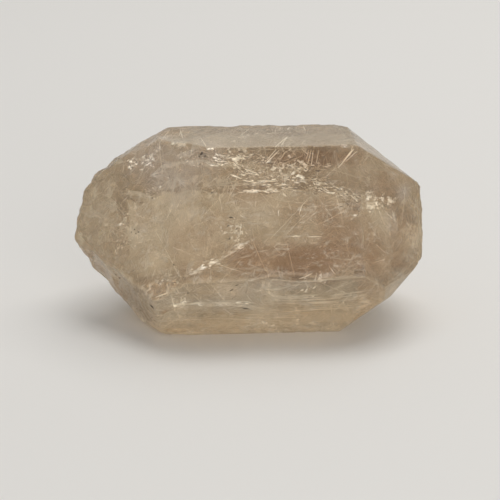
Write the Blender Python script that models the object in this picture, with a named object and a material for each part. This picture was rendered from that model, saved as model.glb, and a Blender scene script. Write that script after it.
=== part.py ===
"""A rutilated smoky quartz crystal, lying on one of its prism faces.

The crystal is one solid. Its long axis runs along X: the prism closes in a pyramid of
rhombohedron faces with a broken tip at +X, and in a broken, rounded end at -X. Z is up,
and -Y is the side that faces a viewer. The origin is the middle of the underside of its box.

Crystal faces keep fixed angles and only their distances vary, so the blank is cut from a
block by one plane for each face, at quartz's own angles and at each face's own distance.
The broken end is then rounded, and shell-shaped scars and chips are scooped out of it.
"""

import math
import random

import bmesh
import bpy
from mathutils import Matrix, Vector
from mathutils.bvhtree import BVHTree

MM = 0.001

# Driving dimensions, in millimetres and degrees.
BLOCK_SIZE = 140.0
AXIS_HEIGHT = 23.5
MIDDLE = Vector((0.0, 0.0, AXIS_HEIGHT))

# The ratio of quartz's c axis to its a axis sets how steeply the pyramid closes.
AXIAL_RATIO = 1.10
PYRAMID_LEAN = math.degrees(math.atan(2.0 * AXIAL_RATIO / math.sqrt(3.0)))

# A face is its turn about the long axis, from straight up towards the viewer, the lean of
# its normal from +X, and its distance from the middle of the axis.
PRISM_FACES = {
    "top": (1.8, 89.7, 24.5),
    "front upper": (60.8, 90.0, 19.65),
    "front lower": (117.0, 89.6, 24.85),
    "front undercut": (124.3, 90.2, 25.15),
    "resting": (180.0, 90.0, AXIS_HEIGHT),
    "back lower": (240.0, 90.2, 22.5),
    "back upper": (300.0, 89.4, 20.6),
}
POINT_FACES = {
    "point top": (-1.7, PYRAMID_LEAN + 1.6, 35.5),
    "point front upper": (59.7, PYRAMID_LEAN + 1.8, 32.5),
    "point front lower": (117.8, PYRAMID_LEAN - 6.9, 41.1),
    "point front corner": (148.0, PYRAMID_LEAN + 10.0, 35.0),
    "point bottom": (177.4, PYRAMID_LEAN - 4.0, 33.4),
    "point back lower": (240.5, PYRAMID_LEAN + 0.6, 35.0),
    "point back upper": (299.9, PYRAMID_LEAN - 0.4, 30.0),
}
WORN_FACES = {
    "worn top": (-2.9, 180.0 - PYRAMID_LEAN - 8.4, 31.9),
    "worn front upper": (54.8, 180.0 - PYRAMID_LEAN - 5.5, 22.9),
    "worn front lower": (128.0, 138.0, 33.9),
    "worn bottom": (176.0, 135.0, 36.4),
    "worn back lower": (238.0, 133.0, 33.6),
    "worn back upper": (302.2, 180.0 - PYRAMID_LEAN - 7.6, 34.4),
}
TIP_BREAKS = {
    "tip break high": (20.0, 4.0, 44.9),
    "tip break low": (150.0, 4.0, 44.4),
}

# The rounded broken end is half an egg whose tail runs past the point.
EGG_MIDDLE = Vector((-12.0, 0.0, AXIS_HEIGHT))
EGG_LENGTH = 33.5
EGG_RADIUS = 28.4
EGG_TAIL = 90.0
EGG_SEGMENTS = 64
EGG_RINGS = 36

# A scar is scooped by a ball where a ray from the axis leaves the crystal: the ray's start
# along the axis, its turn and its lean, then the ball's radius and how deep it bites.
WORN_END_SCARS = (
    (-14.0, 72.0, 150.0, 42.0, 1.20),
    (-14.0, 104.0, 118.0, 48.0, 0.80),
    (-14.0, 40.0, 122.0, 50.0, 0.60),
    (-14.0, 140.0, 140.0, 30.0, 0.80),
)
SCATTERED_SCARS = 34
SCATTER_START = -14.0
SCATTER_LEAN = (100.0, 176.0)
SCATTER_RADIUS = (14.0, 36.0)
SCATTER_BITE = (0.35, 0.80)
SCATTER_SEED = 11
GOLDEN_TURN = 137.5
TIP_SCARS = (
    (30.0, 60.0, 16.0, 14.0, 0.80),
    (30.0, 10.0, 30.0, 8.0, 0.60),
    (30.0, 110.0, 22.0, 10.0, 0.80),
    (30.0, 150.0, 30.0, 9.0, 0.70),
    (30.0, 200.0, 18.0, 12.0, 0.90),
    (30.0, 260.0, 22.0, 15.0, 1.00),
    (30.0, 320.0, 24.0, 10.0, 0.80),
    (30.0, 90.0, 5.0, 7.0, 0.45),
)
# Chips bite into the long edges, straight towards the axis.
EDGE_CHIPS = (
    (9.5, 101.0, 90.0, 46.0, 0.90),
    (-19.0, 126.5, 90.0, 7.0, 0.50),
    (-12.0, 127.0, 90.0, 5.0, 0.30),
    (25.0, 20.0, 90.0, 3.0, 0.35),
    (9.5, 339.5, 90.0, 7.0, 0.20),
    (-4.0, 339.5, 90.0, 8.0, 0.40),
    (12.0, 265.5, 90.0, 20.0, 1.00),
    (-13.0, 265.5, 90.0, 9.0, 0.70),
    (1.0, 265.0, 90.0, 6.0, 0.45),
    (16.0, 208.0, 90.0, 12.0, 0.70),
    (-7.0, 208.0, 90.0, 7.0, 0.45),
    (27.0, 149.0, 80.0, 6.0, 0.50),
)
FINE_BALL = 5
COARSE_BALL = 4
FINE_BALL_RADIUS = 20.0

# A growth ledge is a shallow flat step that runs off the edge of a face: where the ray from
# the axis meets the face, the lowered area's length and width, its depth and its own turn.
GROWTH_LEDGES = (
    (20.0, 300.0, 30.0, 60.0, 0.30, 5.0),
    (2.0, 283.0, 70.0, 9.0, 0.45, 2.0),
    (-12.0, 240.0, 32.0, 60.0, 0.30, -4.0),
    (4.0, 222.0, 80.0, 6.0, 0.40, -1.5),
)

CRYSTAL_COLOUR = (0.42, 0.33, 0.24, 1.0)
CRYSTAL_ROUGHNESS = 0.28


def direction(turn, lean):
    """The unit vector at a turn about the long axis and a lean from +X."""
    turn = math.radians(turn)
    lean = math.radians(lean)
    return Vector((
        math.cos(lean),
        -math.sin(lean) * math.sin(turn),
        math.sin(lean) * math.cos(turn),
    ))


def object_from(name, shape, collection):
    """Write a bmesh, given in millimetres, to a new object in metres."""
    bmesh.ops.scale(shape, vec=(MM, MM, MM), verts=shape.verts)
    mesh = bpy.data.meshes.new(name)
    shape.to_mesh(mesh)
    shape.free()
    made = bpy.data.objects.new(name, mesh)
    collection.objects.link(made)
    return made


def crystal_blank(collection):
    """Cut a block by one plane for each crystal face."""
    block = bmesh.new()
    bmesh.ops.create_cube(block, size=BLOCK_SIZE)
    for faces in (PRISM_FACES, POINT_FACES, WORN_FACES, TIP_BREAKS):
        for turn, lean, distance in faces.values():
            normal = direction(turn, lean)
            cut = bmesh.ops.bisect_plane(
                block,
                geom=block.verts[:] + block.edges[:] + block.faces[:],
                dist=1e-6,
                plane_co=MIDDLE + normal * distance,
                plane_no=normal,
                clear_outer=True,
            )
            rim = [part for part in cut["geom_cut"] if isinstance(part, bmesh.types.BMEdge)]
            bmesh.ops.edgenet_fill(block, edges=rim)
    bmesh.ops.recalc_face_normals(block, faces=block.faces)
    return object_from("quartz_crystal", block, collection)


def egg_cutter(collection):
    """A bullet whose round end is the egg of the worn end."""
    egg = bmesh.new()
    bmesh.ops.create_uvsphere(egg, u_segments=EGG_SEGMENTS, v_segments=EGG_RINGS, radius=1.0)
    turn_to_x = Matrix.Rotation(math.radians(90.0), 3, "Y")
    bmesh.ops.rotate(egg, verts=egg.verts, matrix=turn_to_x)
    bmesh.ops.scale(egg, vec=(EGG_LENGTH, EGG_RADIUS, EGG_RADIUS), verts=egg.verts)
    tail = [vert for vert in egg.verts if vert.co.x > 0.001]
    bmesh.ops.translate(egg, vec=(EGG_TAIL, 0.0, 0.0), verts=tail)
    bmesh.ops.translate(egg, vec=EGG_MIDDLE, verts=egg.verts)
    return object_from("worn_end_egg", egg, collection)


def ball_cutter(name, middle, radius, collection):
    """A ball that scoops one scar."""
    subdivisions = FINE_BALL if radius > FINE_BALL_RADIUS else COARSE_BALL
    ball = bmesh.new()
    bmesh.ops.create_icosphere(ball, subdivisions=subdivisions, radius=radius)
    bmesh.ops.translate(ball, vec=middle, verts=ball.verts)
    return object_from(name, ball, collection)


def ledge_cutter(name, point, normal, size, own_turn, collection):
    """A thin box, flat on a face, that lowers part of it by one growth step."""
    length, width, depth = size
    box = bmesh.new()
    bmesh.ops.create_cube(box, size=1.0)
    bmesh.ops.scale(box, vec=(length, width, 2.0 * depth), verts=box.verts)
    across = normal.cross(Vector((1.0, 0.0, 0.0))).normalized()
    along = across.cross(normal)
    lay_on_face = Matrix((along, across, normal)).transposed()
    turned = lay_on_face @ Matrix.Rotation(math.radians(own_turn), 3, "Z")
    bmesh.ops.rotate(box, verts=box.verts, matrix=turned)
    bmesh.ops.translate(box, vec=point, verts=box.verts)
    return object_from(name, box, collection)


def use_cutter(crystal, cutter, operation):
    """Add one Boolean step to the crystal."""
    step = crystal.modifiers.new(cutter.name, "BOOLEAN")
    step.operation = operation
    step.solver = "EXACT"
    step.object = cutter
    cutter.hide_render = True
    cutter.display_type = "WIRE"


def surface_of(crystal):
    """A search tree of the crystal's surface as it now is."""
    graph = bpy.context.evaluated_depsgraph_get()
    return BVHTree.FromObject(crystal, graph)


def surface_point(surface, start, turn, lean):
    """Where a ray from the axis leaves the crystal, and the surface's normal there."""
    origin = Vector((start, 0.0, AXIS_HEIGHT)) * MM
    point, normal, _, _ = surface.ray_cast(origin, direction(turn, lean))
    return point / MM, normal


def scoop_scars(crystal, scars, label, square_to_face, collection):
    """Scoop a list of shell-shaped scars, square to each face or along each ray."""
    surface = surface_of(crystal)
    for number, (start, turn, lean, radius, bite) in enumerate(scars, start=1):
        point, normal = surface_point(surface, start, turn, lean)
        outwards = normal if square_to_face else direction(turn, lean)
        middle = point + outwards * (radius - bite)
        name = f"{label}_{number:02d}"
        ball = ball_cutter(name, middle, radius, collection)
        use_cutter(crystal, ball, "DIFFERENCE")


def cut_growth_ledges(crystal, collection):
    """Lower parts of the back faces by shallow growth steps."""
    surface = surface_of(crystal)
    for number, ledge in enumerate(GROWTH_LEDGES, start=1):
        start, turn, length, width, depth, own_turn = ledge
        point, normal = surface_point(surface, start, turn, 90.0)
        size = (length, width, depth)
        name = f"growth_ledge_{number:02d}"
        box = ledge_cutter(name, point, normal, size, own_turn, collection)
        use_cutter(crystal, box, "DIFFERENCE")


def centre_on_box(crystal, cutters):
    """Move everything so that the origin is the middle of the underside of the box."""
    graph = bpy.context.evaluated_depsgraph_get()
    finished = crystal.evaluated_get(graph).to_mesh()
    xs = [vert.co.x for vert in finished.vertices]
    ys = [vert.co.y for vert in finished.vertices]
    zs = [vert.co.z for vert in finished.vertices]
    offset = Vector((
        -(min(xs) + max(xs)) / 2.0,
        -(min(ys) + max(ys)) / 2.0,
        -min(zs),
    ))
    for moved in [crystal] + list(cutters.objects):
        moved.data.transform(Matrix.Translation(offset))


def scattered_scars():
    """Scars of varied size, spread evenly round the worn end by the golden angle."""
    chance = random.Random(SCATTER_SEED)
    low, high = (math.cos(math.radians(lean)) for lean in SCATTER_LEAN)
    scars = []
    for number in range(SCATTERED_SCARS):
        share = (number + 0.5) / SCATTERED_SCARS
        lean = math.degrees(math.acos(low + (high - low) * share))
        turn = number * GOLDEN_TURN + chance.uniform(-12.0, 12.0)
        radius = chance.uniform(*SCATTER_RADIUS)
        bite = chance.uniform(*SCATTER_BITE)
        scars.append((SCATTER_START, turn, lean, radius, bite))
    return tuple(scars)


def smoky_quartz_material():
    """Pale grey-brown quartz with a satin surface."""
    material = bpy.data.materials.new("smoky_quartz")
    material.use_nodes = True
    surface = material.node_tree.nodes["Principled BSDF"]
    surface.inputs["Base Color"].default_value = CRYSTAL_COLOUR
    surface.inputs["Roughness"].default_value = CRYSTAL_ROUGHNESS
    surface.inputs["Metallic"].default_value = 0.0
    surface.inputs["IOR"].default_value = 1.544
    return material


def main():
    for old in list(bpy.data.objects):
        bpy.data.objects.remove(old)
    parts = bpy.data.collections.new("rutilated_smoky_quartz")
    cutters = bpy.data.collections.new("cutters")
    bpy.context.scene.collection.children.link(parts)
    bpy.context.scene.collection.children.link(cutters)

    crystal = crystal_blank(parts)
    crystal.data.materials.append(smoky_quartz_material())
    use_cutter(crystal, egg_cutter(cutters), "INTERSECT")
    cut_growth_ledges(crystal, cutters)
    scoop_scars(crystal, WORN_END_SCARS + scattered_scars(), "worn_end_scar", True, cutters)
    scoop_scars(crystal, TIP_SCARS, "tip_scar", True, cutters)
    scoop_scars(crystal, EDGE_CHIPS, "edge_chip", False, cutters)
    centre_on_box(crystal, cutters)


main()
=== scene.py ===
# %% [markdown]
# # A rutilated smoky quartz crystal
# This lesson dresses one solid: a stout quartz crystal, 90 mm long, that lies on a face of its
# six-sided prism. Its right end closes in a pyramid with a broken tip, and its left end was broken
# long ago and worn round.
# What makes such a crystal is inside it: brown smoke, silvery cracks that healed as it grew, a
# few dark grains and hundreds of hair-thin golden needles of rutile. So the crystal is made as a
# real see-through body, and every needle and flake is a real mesh under its surface.
# Lengths are in millimetres where a name or a comment says so, and in metres everywhere else.

import math
import random

import bmesh
import bpy
import numpy as np
from mathutils import Matrix, Vector, noise
from mathutils.bvhtree import BVHTree


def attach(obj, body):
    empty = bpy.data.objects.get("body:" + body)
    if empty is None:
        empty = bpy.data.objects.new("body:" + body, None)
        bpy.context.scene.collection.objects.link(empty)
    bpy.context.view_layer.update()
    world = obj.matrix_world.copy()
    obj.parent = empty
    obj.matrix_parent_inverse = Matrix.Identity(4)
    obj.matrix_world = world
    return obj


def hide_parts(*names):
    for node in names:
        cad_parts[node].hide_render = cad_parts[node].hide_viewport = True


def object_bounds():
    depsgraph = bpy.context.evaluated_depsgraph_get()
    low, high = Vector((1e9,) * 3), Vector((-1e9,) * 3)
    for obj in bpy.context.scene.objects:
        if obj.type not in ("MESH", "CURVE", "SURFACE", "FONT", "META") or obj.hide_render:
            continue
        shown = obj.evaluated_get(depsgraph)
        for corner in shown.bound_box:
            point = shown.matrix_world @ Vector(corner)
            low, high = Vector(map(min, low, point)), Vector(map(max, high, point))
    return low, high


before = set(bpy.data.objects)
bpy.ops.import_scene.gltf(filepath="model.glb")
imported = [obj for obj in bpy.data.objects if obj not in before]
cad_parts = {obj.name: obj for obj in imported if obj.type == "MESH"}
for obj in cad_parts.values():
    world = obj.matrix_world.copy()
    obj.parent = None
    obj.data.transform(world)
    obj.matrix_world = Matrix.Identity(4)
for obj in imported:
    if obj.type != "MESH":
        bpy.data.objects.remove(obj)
cad_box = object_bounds()
cad_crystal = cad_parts["quartz_crystal"]
MM = 0.001
print("crystal box in mm:", [[round(side / MM, 1) for side in corner] for corner in cad_box])

# %% [markdown]
# ## The camera
# The picture looks down on the crystal at about 19 degrees, from in front of its long side and
# from fairly far away, with the camera turned a little so that the crystal climbs to the right.
# The camera comes first, because several cracks and needles are placed by where they show in the
# picture. A focal length in picture widths is all that a lens needs: 36 mm of sensor are the
# 500 pixels of the picture.

# %% Work out which way the camera looks
PICTURE_SIZE = 500
FOCAL_LENGTH_PX = 1562.4
SENSOR_WIDTH_MM = 36.0
CAMERA_ELEVATION = 19.2
CAMERA_ROLL = -1.43
CAMERA_DISTANCE = 0.400
AIM_POINT = Vector((0.31, -2.72, 24.0)) * MM
AIM_PIXEL = (247.5, 229.8)


def tilted_axes(elevation, roll):
    """Right, up and forward of a camera that looks along +Y, down by elevation and rolled."""
    lift = math.radians(elevation)
    turn = math.radians(roll)
    forward = Vector((0.0, math.cos(lift), -math.sin(lift)))
    level_up = Vector((0.0, math.sin(lift), math.cos(lift)))
    level_right = Vector((1.0, 0.0, 0.0))
    right = level_right * math.cos(turn) + level_up * math.sin(turn)
    return right, right.cross(forward), forward


def through_pixel(axes, pixel, middle):
    """The direction from the camera through a pixel, where middle is the pixel of its axis."""
    right, up, forward = axes
    across = (pixel[0] - middle[0]) / FOCAL_LENGTH_PX
    down = (pixel[1] - middle[1]) / FOCAL_LENGTH_PX
    return (forward + right * across - up * down).normalized()


aimed = tilted_axes(CAMERA_ELEVATION, CAMERA_ROLL)
camera_place = AIM_POINT - aimed[2] * CAMERA_DISTANCE
picture_middle = (PICTURE_SIZE / 2, PICTURE_SIZE / 2)
camera_forward = through_pixel(aimed, picture_middle, AIM_PIXEL)
camera_up = aimed[0].cross(camera_forward).normalized()
camera_right = camera_forward.cross(camera_up)
camera_axes = (camera_right, camera_up, camera_forward)
print("camera looks along", [round(c, 3) for c in camera_forward])

# %% Place the camera
camera = bpy.data.objects.new("camera", bpy.data.cameras.new("camera"))
camera.data.sensor_width = SENSOR_WIDTH_MM
camera.data.lens = FOCAL_LENGTH_PX / PICTURE_SIZE * SENSOR_WIDTH_MM
camera.data.clip_start = 0.01
camera.data.clip_end = 20.0
turned = Matrix((camera_right, camera_up, -camera_forward)).transposed().to_4x4()
camera.matrix_world = Matrix.Translation(camera_place) @ turned
bpy.context.scene.collection.objects.link(camera)
bpy.context.scene.camera = camera
print("lens", round(camera.data.lens, 1), "mm, camera at", [round(c, 3) for c in camera_place])

# %% [markdown]
# ## From the picture into the quartz
# A thing inside the crystal is seen through a crystal face, and the face bends the line of sight.
# To put a needle where the picture shows it, the line of sight is followed to the face, bent
# there by Snell's law with quartz's own index, 1.544, and followed a few millimetres further in.
# What is placed this way stays a real thing in the crystal, and is right from every side.

# %% Follow a line of sight into the crystal
QUARTZ_INDEX = 1.544

graph = bpy.context.evaluated_depsgraph_get()
cad_surface = BVHTree.FromObject(cad_crystal, graph)


def bent_inwards(sight, normal):
    """The direction of a line of sight after it has entered the quartz."""
    ratio = 1.0 / QUARTZ_INDEX
    cosine = -normal.dot(sight)
    inner = math.sqrt(1.0 - ratio * ratio * (1.0 - cosine * cosine))
    return (sight * ratio + normal * (ratio * cosine - inner)).normalized()


def meets_crystal(pixel):
    """Whether the line of sight through a pixel meets the crystal."""
    sight = through_pixel(camera_axes, pixel, picture_middle)
    return cad_surface.ray_cast(camera_place, sight)[0] is not None


def surface_at(pixel):
    """Where the line of sight through a pixel meets the crystal, and how it goes on inside."""
    sight = through_pixel(camera_axes, pixel, picture_middle)
    point, normal, _, _ = cad_surface.ray_cast(camera_place, sight)
    if point is None:
        raise ValueError(f"the line of sight through {pixel} misses the crystal")
    return point, normal, bent_inwards(sight, normal)


def inside_at(pixel, depth_mm):
    """The point inside the crystal that shows at a pixel, at a depth along the bent sight."""
    point, _, inwards = surface_at(pixel)
    return point + inwards * (depth_mm * MM)


def depth_inside(point):
    """How far a point is under the crystal's surface, in mm, or less than 0 outside."""
    nearest, normal, _, distance = cad_surface.find_nearest(point)
    inside = (point - nearest).dot(normal) < 0.0
    return distance / MM if inside else -distance / MM


middle_point, _, _ = surface_at(picture_middle)
print("picture middle meets the crystal at", [round(c / MM, 1) for c in middle_point], "mm")

# %% [markdown]
# ## Small helpers
# Every material and every Geometry Nodes tree below is built from nodes. One helper adds a node,
# with a plain value or another node's output for each input, and three more save writing the
# commonest nodes out. The others turn what modifiers make into plain mesh data, which is what a
# finished piece has to be.

# %% Helpers for nodes


def add_node(tree, kind, inputs=None, **properties):
    """Add a node. Each of its inputs is a plain value or another node's output."""
    node = tree.nodes.new(kind)
    for name, value in properties.items():
        setattr(node, name, value)
    for socket, value in (inputs or {}).items():
        if isinstance(value, bpy.types.NodeSocket):
            tree.links.new(value, node.inputs[socket])
        else:
            node.inputs[socket].default_value = value
    return node


def calculated(tree, operation, *values):
    """What a Math node makes of numbers or other nodes' outputs."""
    node = add_node(tree, "ShaderNodeMath", dict(enumerate(values)), operation=operation)
    return node.outputs["Value"]


def vector_node(tree, operation, inputs):
    """A Vector Math node."""
    return add_node(tree, "ShaderNodeVectorMath", inputs, operation=operation)


def new_group(name, kind, inputs, outputs):
    """A node group with named sockets, and the outputs of its Group Input node."""
    tree = bpy.data.node_groups.new(name, kind)
    for direction, sockets in (("INPUT", inputs), ("OUTPUT", outputs)):
        for label, socket_type in sockets.items():
            tree.interface.new_socket(label, in_out=direction, socket_type=socket_type)
    return tree, add_node(tree, "NodeGroupInput").outputs


def new_material(name):
    """A material with its node tree and its Principled BSDF."""
    material = bpy.data.materials.new(name)
    material.use_nodes = True
    return material, material.node_tree, material.node_tree.nodes["Principled BSDF"]


# %% Helpers for meshes


def new_object(name, mesh):
    """A mesh object at the origin, in the scene."""
    made = bpy.data.objects.new(name, mesh)
    bpy.context.scene.collection.objects.link(made)
    return made


def apply_modifiers(made):
    """Keep what the modifiers make as the object's own plain mesh."""
    bpy.context.view_layer.update()
    fresh = bpy.context.evaluated_depsgraph_get()
    mesh = bpy.data.meshes.new_from_object(made.evaluated_get(fresh))
    made.modifiers.clear()
    made.data = mesh
    mesh.name = made.name
    return made


def triangle_count(made):
    """How many triangles an object's mesh has."""
    made.data.calc_loop_triangles()
    return len(made.data.loop_triangles)


def read_vectors(mesh, what):
    """The places or normals of a mesh's vertices as rows of numbers."""
    values = np.zeros(len(mesh.vertices) * 3)
    mesh.vertices.foreach_get(what, values)
    return values.reshape(-1, 3)


# %% [markdown]
# ## The clear crystal's mesh
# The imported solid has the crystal's faces, scars and chips, but its edges are knife-sharp and its
# flat faces are a few large triangles, and nothing can be worked into them. The Remesh modifier
# in its Sharp mode rebuilds the solid from small quads that follow every flat face closely.

# %% Rebuild the crystal from small faces
REMESH_DEPTH = 8
REMESH_SCALE = 0.80


def merged_copy(source, name):
    """A copy of a mesh object whose loose triangles are joined at their corners."""
    joined = bmesh.new()
    joined.from_mesh(source.data)
    bmesh.ops.remove_doubles(joined, verts=joined.verts, dist=1e-6)
    mesh = bpy.data.meshes.new(name)
    joined.to_mesh(mesh)
    joined.free()
    return new_object(name, mesh)


crystal = merged_copy(cad_crystal, "smoky_quartz")
remesh = crystal.modifiers.new("small faces", "REMESH")
remesh.mode = "SHARP"
remesh.octree_depth = REMESH_DEPTH
remesh.scale = REMESH_SCALE
apply_modifiers(crystal)
crystal.data.shade_smooth()
print("crystal mesh:", triangle_count(crystal), "triangles")

# %% [markdown]
# ## Worn edges and a worn end
# A crystal that has rolled in a river bed is bruised along its edges, and its broken end is dull,
# pitted and rippled like old bottle glass, because quartz breaks in shells. Most of this relief is
# a fifth of a millimetre deep or less, and the shells reach three quarters. It could be painted
# with a bump, but then the outline would stay smooth, so the vertices are moved.
# First each vertex is told how near it is to an edge. Where the normals of two neighbouring
# vertices point in unlike directions, the surface bends between them, and a few rounds of
# averaging with the neighbours widen that bend into a soft band. One round of smoothing then
# leaves the flats as they are and takes the sharpness off the edges.

# %% Find the edges and blunt them

# A bend is 1 less the cosine of the angle between two normals. This much counts as an edge.
EDGE_BEND = 0.12
EDGE_BAND_ROUNDS = 3
EDGE_BAND_FADE = 0.9
EDGE_SMOOTHING_ROUNDS = 1


def neighbour_mean(links, values):
    """The mean of a value over the neighbours of each vertex."""
    total = np.zeros(len(values))
    count = np.zeros(len(values))
    for here, there in ((0, 1), (1, 0)):
        total += np.bincount(links[:, here], values[links[:, there]], len(values))
        count += np.bincount(links[:, here], minlength=len(values))
    return total / count


def edge_links(mesh):
    """The two vertices of each edge, as rows."""
    pairs = np.zeros(len(mesh.edges) * 2, dtype=int)
    mesh.edges.foreach_get("vertices", pairs)
    return pairs.reshape(-1, 2)


def edge_band(mesh, rounds):
    """1 at a sharp edge and 0 on a flat face, with a soft band between."""
    links = edge_links(mesh)
    facing = read_vectors(mesh, "normal")
    spread = np.zeros(len(mesh.vertices))
    bend = 1.0 - np.einsum("ij,ij->i", facing[links[:, 0]], facing[links[:, 1]])
    np.maximum.at(spread, links[:, 0], bend)
    np.maximum.at(spread, links[:, 1], bend)
    band = np.clip(spread / EDGE_BEND, 0.0, 1.0)
    for _ in range(rounds):
        band = np.maximum(band * EDGE_BAND_FADE, neighbour_mean(links, band))
    return np.clip(band, 0.0, 1.0)


edges = edge_band(crystal.data, EDGE_BAND_ROUNDS)
smooth = crystal.modifiers.new("worn edges", "SMOOTH")
smooth.factor = 0.5
smooth.iterations = EDGE_SMOOTHING_ROUNDS
apply_modifiers(crystal)
print("share of the surface near an edge:", round(float((edges > 0.3).mean()), 3))

# %% [markdown]
# ## The relief
# Each kind of wear is a depth by which a vertex moves inwards. The worn end is rounded first: each
# of its vertices moves towards the mean of its neighbours, again and again. Then chips follow the
# edges, shells and pits roughen the broken end, ripples spread from where blows landed, fine
# growth stripes cross the prism faces, and low swells keep the flat faces from being perfectly
# flat. Noise gives each its shape. The stripes are a noise that is stretched across the crystal.

# %% The measures of the relief

# Where each kind of surface begins and where it is complete, in mm along the crystal.
TIP_FROM_MM = 42.4
TIP_TO_MM = 43.6
WORN_FROM_MM = -14.0
WORN_TO_MM = -27.0
FROSTED_FROM_MM = -24.0
FROSTED_TO_MM = -42.0
FROST_WANDER_MM = 9.0
SCALLOPS_FROM_MM = -27.0
SCALLOPS_TO_MM = -40.0

# How far a normal may lean along the crystal on a prism face: fully one up to the first value,
# and none from the second on.
PRISM_LEAN = (0.05, 0.4)

ROUNDING_ROUNDS = 20
ROUNDING_STEP = 0.5
CHIP_THRESHOLD = 0.05
CHIP_DEPTH_MM = 0.20
SCALLOP_DEPTH_MM = 0.75
PIT_DEPTH_MM = 0.20
RIPPLE_DEPTH_MM = 0.05
STRIATION_DEPTH_MM = 0.012
SWELL_LIFT = 0.4
SWELL_DEPTH_MM = 0.04

# A noise is its squeeze along the three axes, its size in mm, its octaves and a shift that keeps
# it unlike the others. A squeeze under 1 stretches it along that axis.
NOISES = {
    "frost": ((1.0, 1.0, 1.0), 6.0, 4, 160.0),
    "chips": ((1.0, 1.0, 1.0), 2.6, 3, 0.0),
    "scallops": ((1.0, 1.0, 1.0), 5.5, 1, 20.0),
    "pits": ((1.0, 1.0, 1.0), 1.9, 4, 40.0),
    "stripes": ((1.0, 0.08, 0.08), 0.9, 3, 80.0),
    "swells": ((0.45, 1.0, 1.0), 4.5, 2, 120.0),
}

# Ripples are strongest at their fifth ring and die out within four more.
RIPPLE_PEAK = 5.0
RIPPLE_FADE = 4.0

# A centre of ripples is its place and the spacing of its rings.
RIPPLE_CENTRES_MM = (
    (-30.0, -14.0, 44.0, 1.7),
    (-43.0, -6.0, 10.0, 1.5),
    (-24.0, -24.0, 6.0, 1.9),
    (-40.0, 12.0, 40.0, 1.6),
    (-34.0, 20.0, 12.0, 1.8),
)


def smooth_step(values, start, end):
    """0 before start and 1 after end, with a smooth rise between them."""
    share = np.clip((values - start) / (end - start), 0.0, 1.0)
    return share * share * (3.0 - 2.0 * share)


def noise_at(points_mm, squeeze, size_mm, octaves, shift):
    """Fractal noise, about -1 to 1, with features of a given size."""
    return np.array([
        noise.fractal(Vector(point) / size_mm + Vector((shift, 0.0, 0.0)), 1.0, 2.0, octaves)
        for point in points_mm * np.array(squeeze)
    ])


def ripples(points_mm):
    """Rings around the points where blows landed, dying out within a few rings."""
    total = np.zeros(len(points_mm))
    for x, y, z, spacing in RIPPLE_CENTRES_MM:
        distance = np.linalg.norm(points_mm - np.array((x, y, z)), axis=1)
        fade = np.exp(-((distance - RIPPLE_PEAK * spacing) / (RIPPLE_FADE * spacing)) ** 2)
        total += np.sin(distance * (2.0 * math.pi / spacing)) * fade
    return total


# %% Round the worn end
places = read_vectors(crystal.data, "co") / MM
links = edge_links(crystal.data)
worn = smooth_step(places[:, 0], WORN_FROM_MM, WORN_TO_MM)
for _ in range(ROUNDING_ROUNDS):
    around = np.stack([neighbour_mean(links, places[:, axis]) for axis in range(3)], axis=1)
    places += (around - places) * (ROUNDING_STEP * worn[:, None])
crystal.data.vertices.foreach_set("co", (places * MM).ravel())
crystal.data.update()
normals = read_vectors(crystal.data, "normal")
print("share of the surface that is worn:", round(float((worn > 0.5).mean()), 3))

# %% Work the relief into the surface
noises = {label: noise_at(places, *given) for label, given in NOISES.items()}
broken_tip = smooth_step(places[:, 0], TIP_FROM_MM, TIP_TO_MM)
frost_line = places[:, 0] + FROST_WANDER_MM * noises["frost"]
dull = np.maximum(smooth_step(frost_line, FROSTED_FROM_MM, FROSTED_TO_MM), broken_tip)
scalloped = smooth_step(places[:, 0], SCALLOPS_FROM_MM, SCALLOPS_TO_MM)
fresh = 1.0 - np.maximum(worn, broken_tip)
on_prism = fresh * (1.0 - smooth_step(np.abs(normals[:, 0]), *PRISM_LEAN))

chips = np.clip(noises["chips"] - CHIP_THRESHOLD, 0.0, 0.5) * 2.0
shells = np.clip(0.5 - np.abs(noises["scallops"]), 0.0, 0.5) * 2.0
swells = np.clip(noises["swells"] + SWELL_LIFT, 0.0, 1.0)
inwards_mm = edges * chips * CHIP_DEPTH_MM
inwards_mm += scalloped * shells * SCALLOP_DEPTH_MM
inwards_mm += dull * np.abs(noises["pits"]) * PIT_DEPTH_MM
inwards_mm += worn * (1.0 + ripples(places)) * RIPPLE_DEPTH_MM
inwards_mm += on_prism * np.abs(noises["stripes"]) * STRIATION_DEPTH_MM
inwards_mm += (1.0 - dull) * swells * SWELL_DEPTH_MM

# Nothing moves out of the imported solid's box.
moved = (places - normals * inwards_mm[:, None]) * MM
moved = np.clip(moved, np.array(cad_box[0]), np.array(cad_box[1]))
crystal.data.vertices.foreach_set("co", moved.ravel())
print("deepest relief:", round(float(inwards_mm.max()), 2), "mm")

# %% [markdown]
# ## What the material needs to know
# The material can't tell an edge from a flat or one face from the next, so the mesh tells it. Each
# vertex keeps how near it is to an edge, how frosted it is, and whether it belongs to the top
# face, where a grey reflection is painted, or to the narrow face at the upper right, where a pale
# highlight is painted.

# %% Keep masks on the vertices
TOP_FACE_PIXEL = (260, 135)
NARROW_FACE_PIXEL = (370, 148)

# The cosine of the angle between a vertex's normal and a face's: the vertex isn't on the face up
# to the first value, and is on it from the second on.
FACE_MATCH = (0.90, 0.98)


def on_face(pixel):
    """1 where a vertex points the way of the face that shows at a pixel, else 0."""
    _, face_normal, _ = surface_at(pixel)
    return smooth_step(normals @ np.array(face_normal), *FACE_MATCH)


masks = (
    ("edge", edges),
    ("dull", dull),
    # The top face gets a painted grey reflection, and the narrow face a painted pale highlight.
    ("top_face_reflection", on_face(TOP_FACE_PIXEL)),
    ("narrow_face_highlight", on_face(NARROW_FACE_PIXEL)),
)
for label, values in masks:
    attribute = crystal.data.attributes.new(label, "FLOAT", "POINT")
    attribute.data.foreach_set("value", values.astype(np.float32))
    print("mean of", label, ":", round(float(values.mean()), 3))
crystal.data.update()

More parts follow.
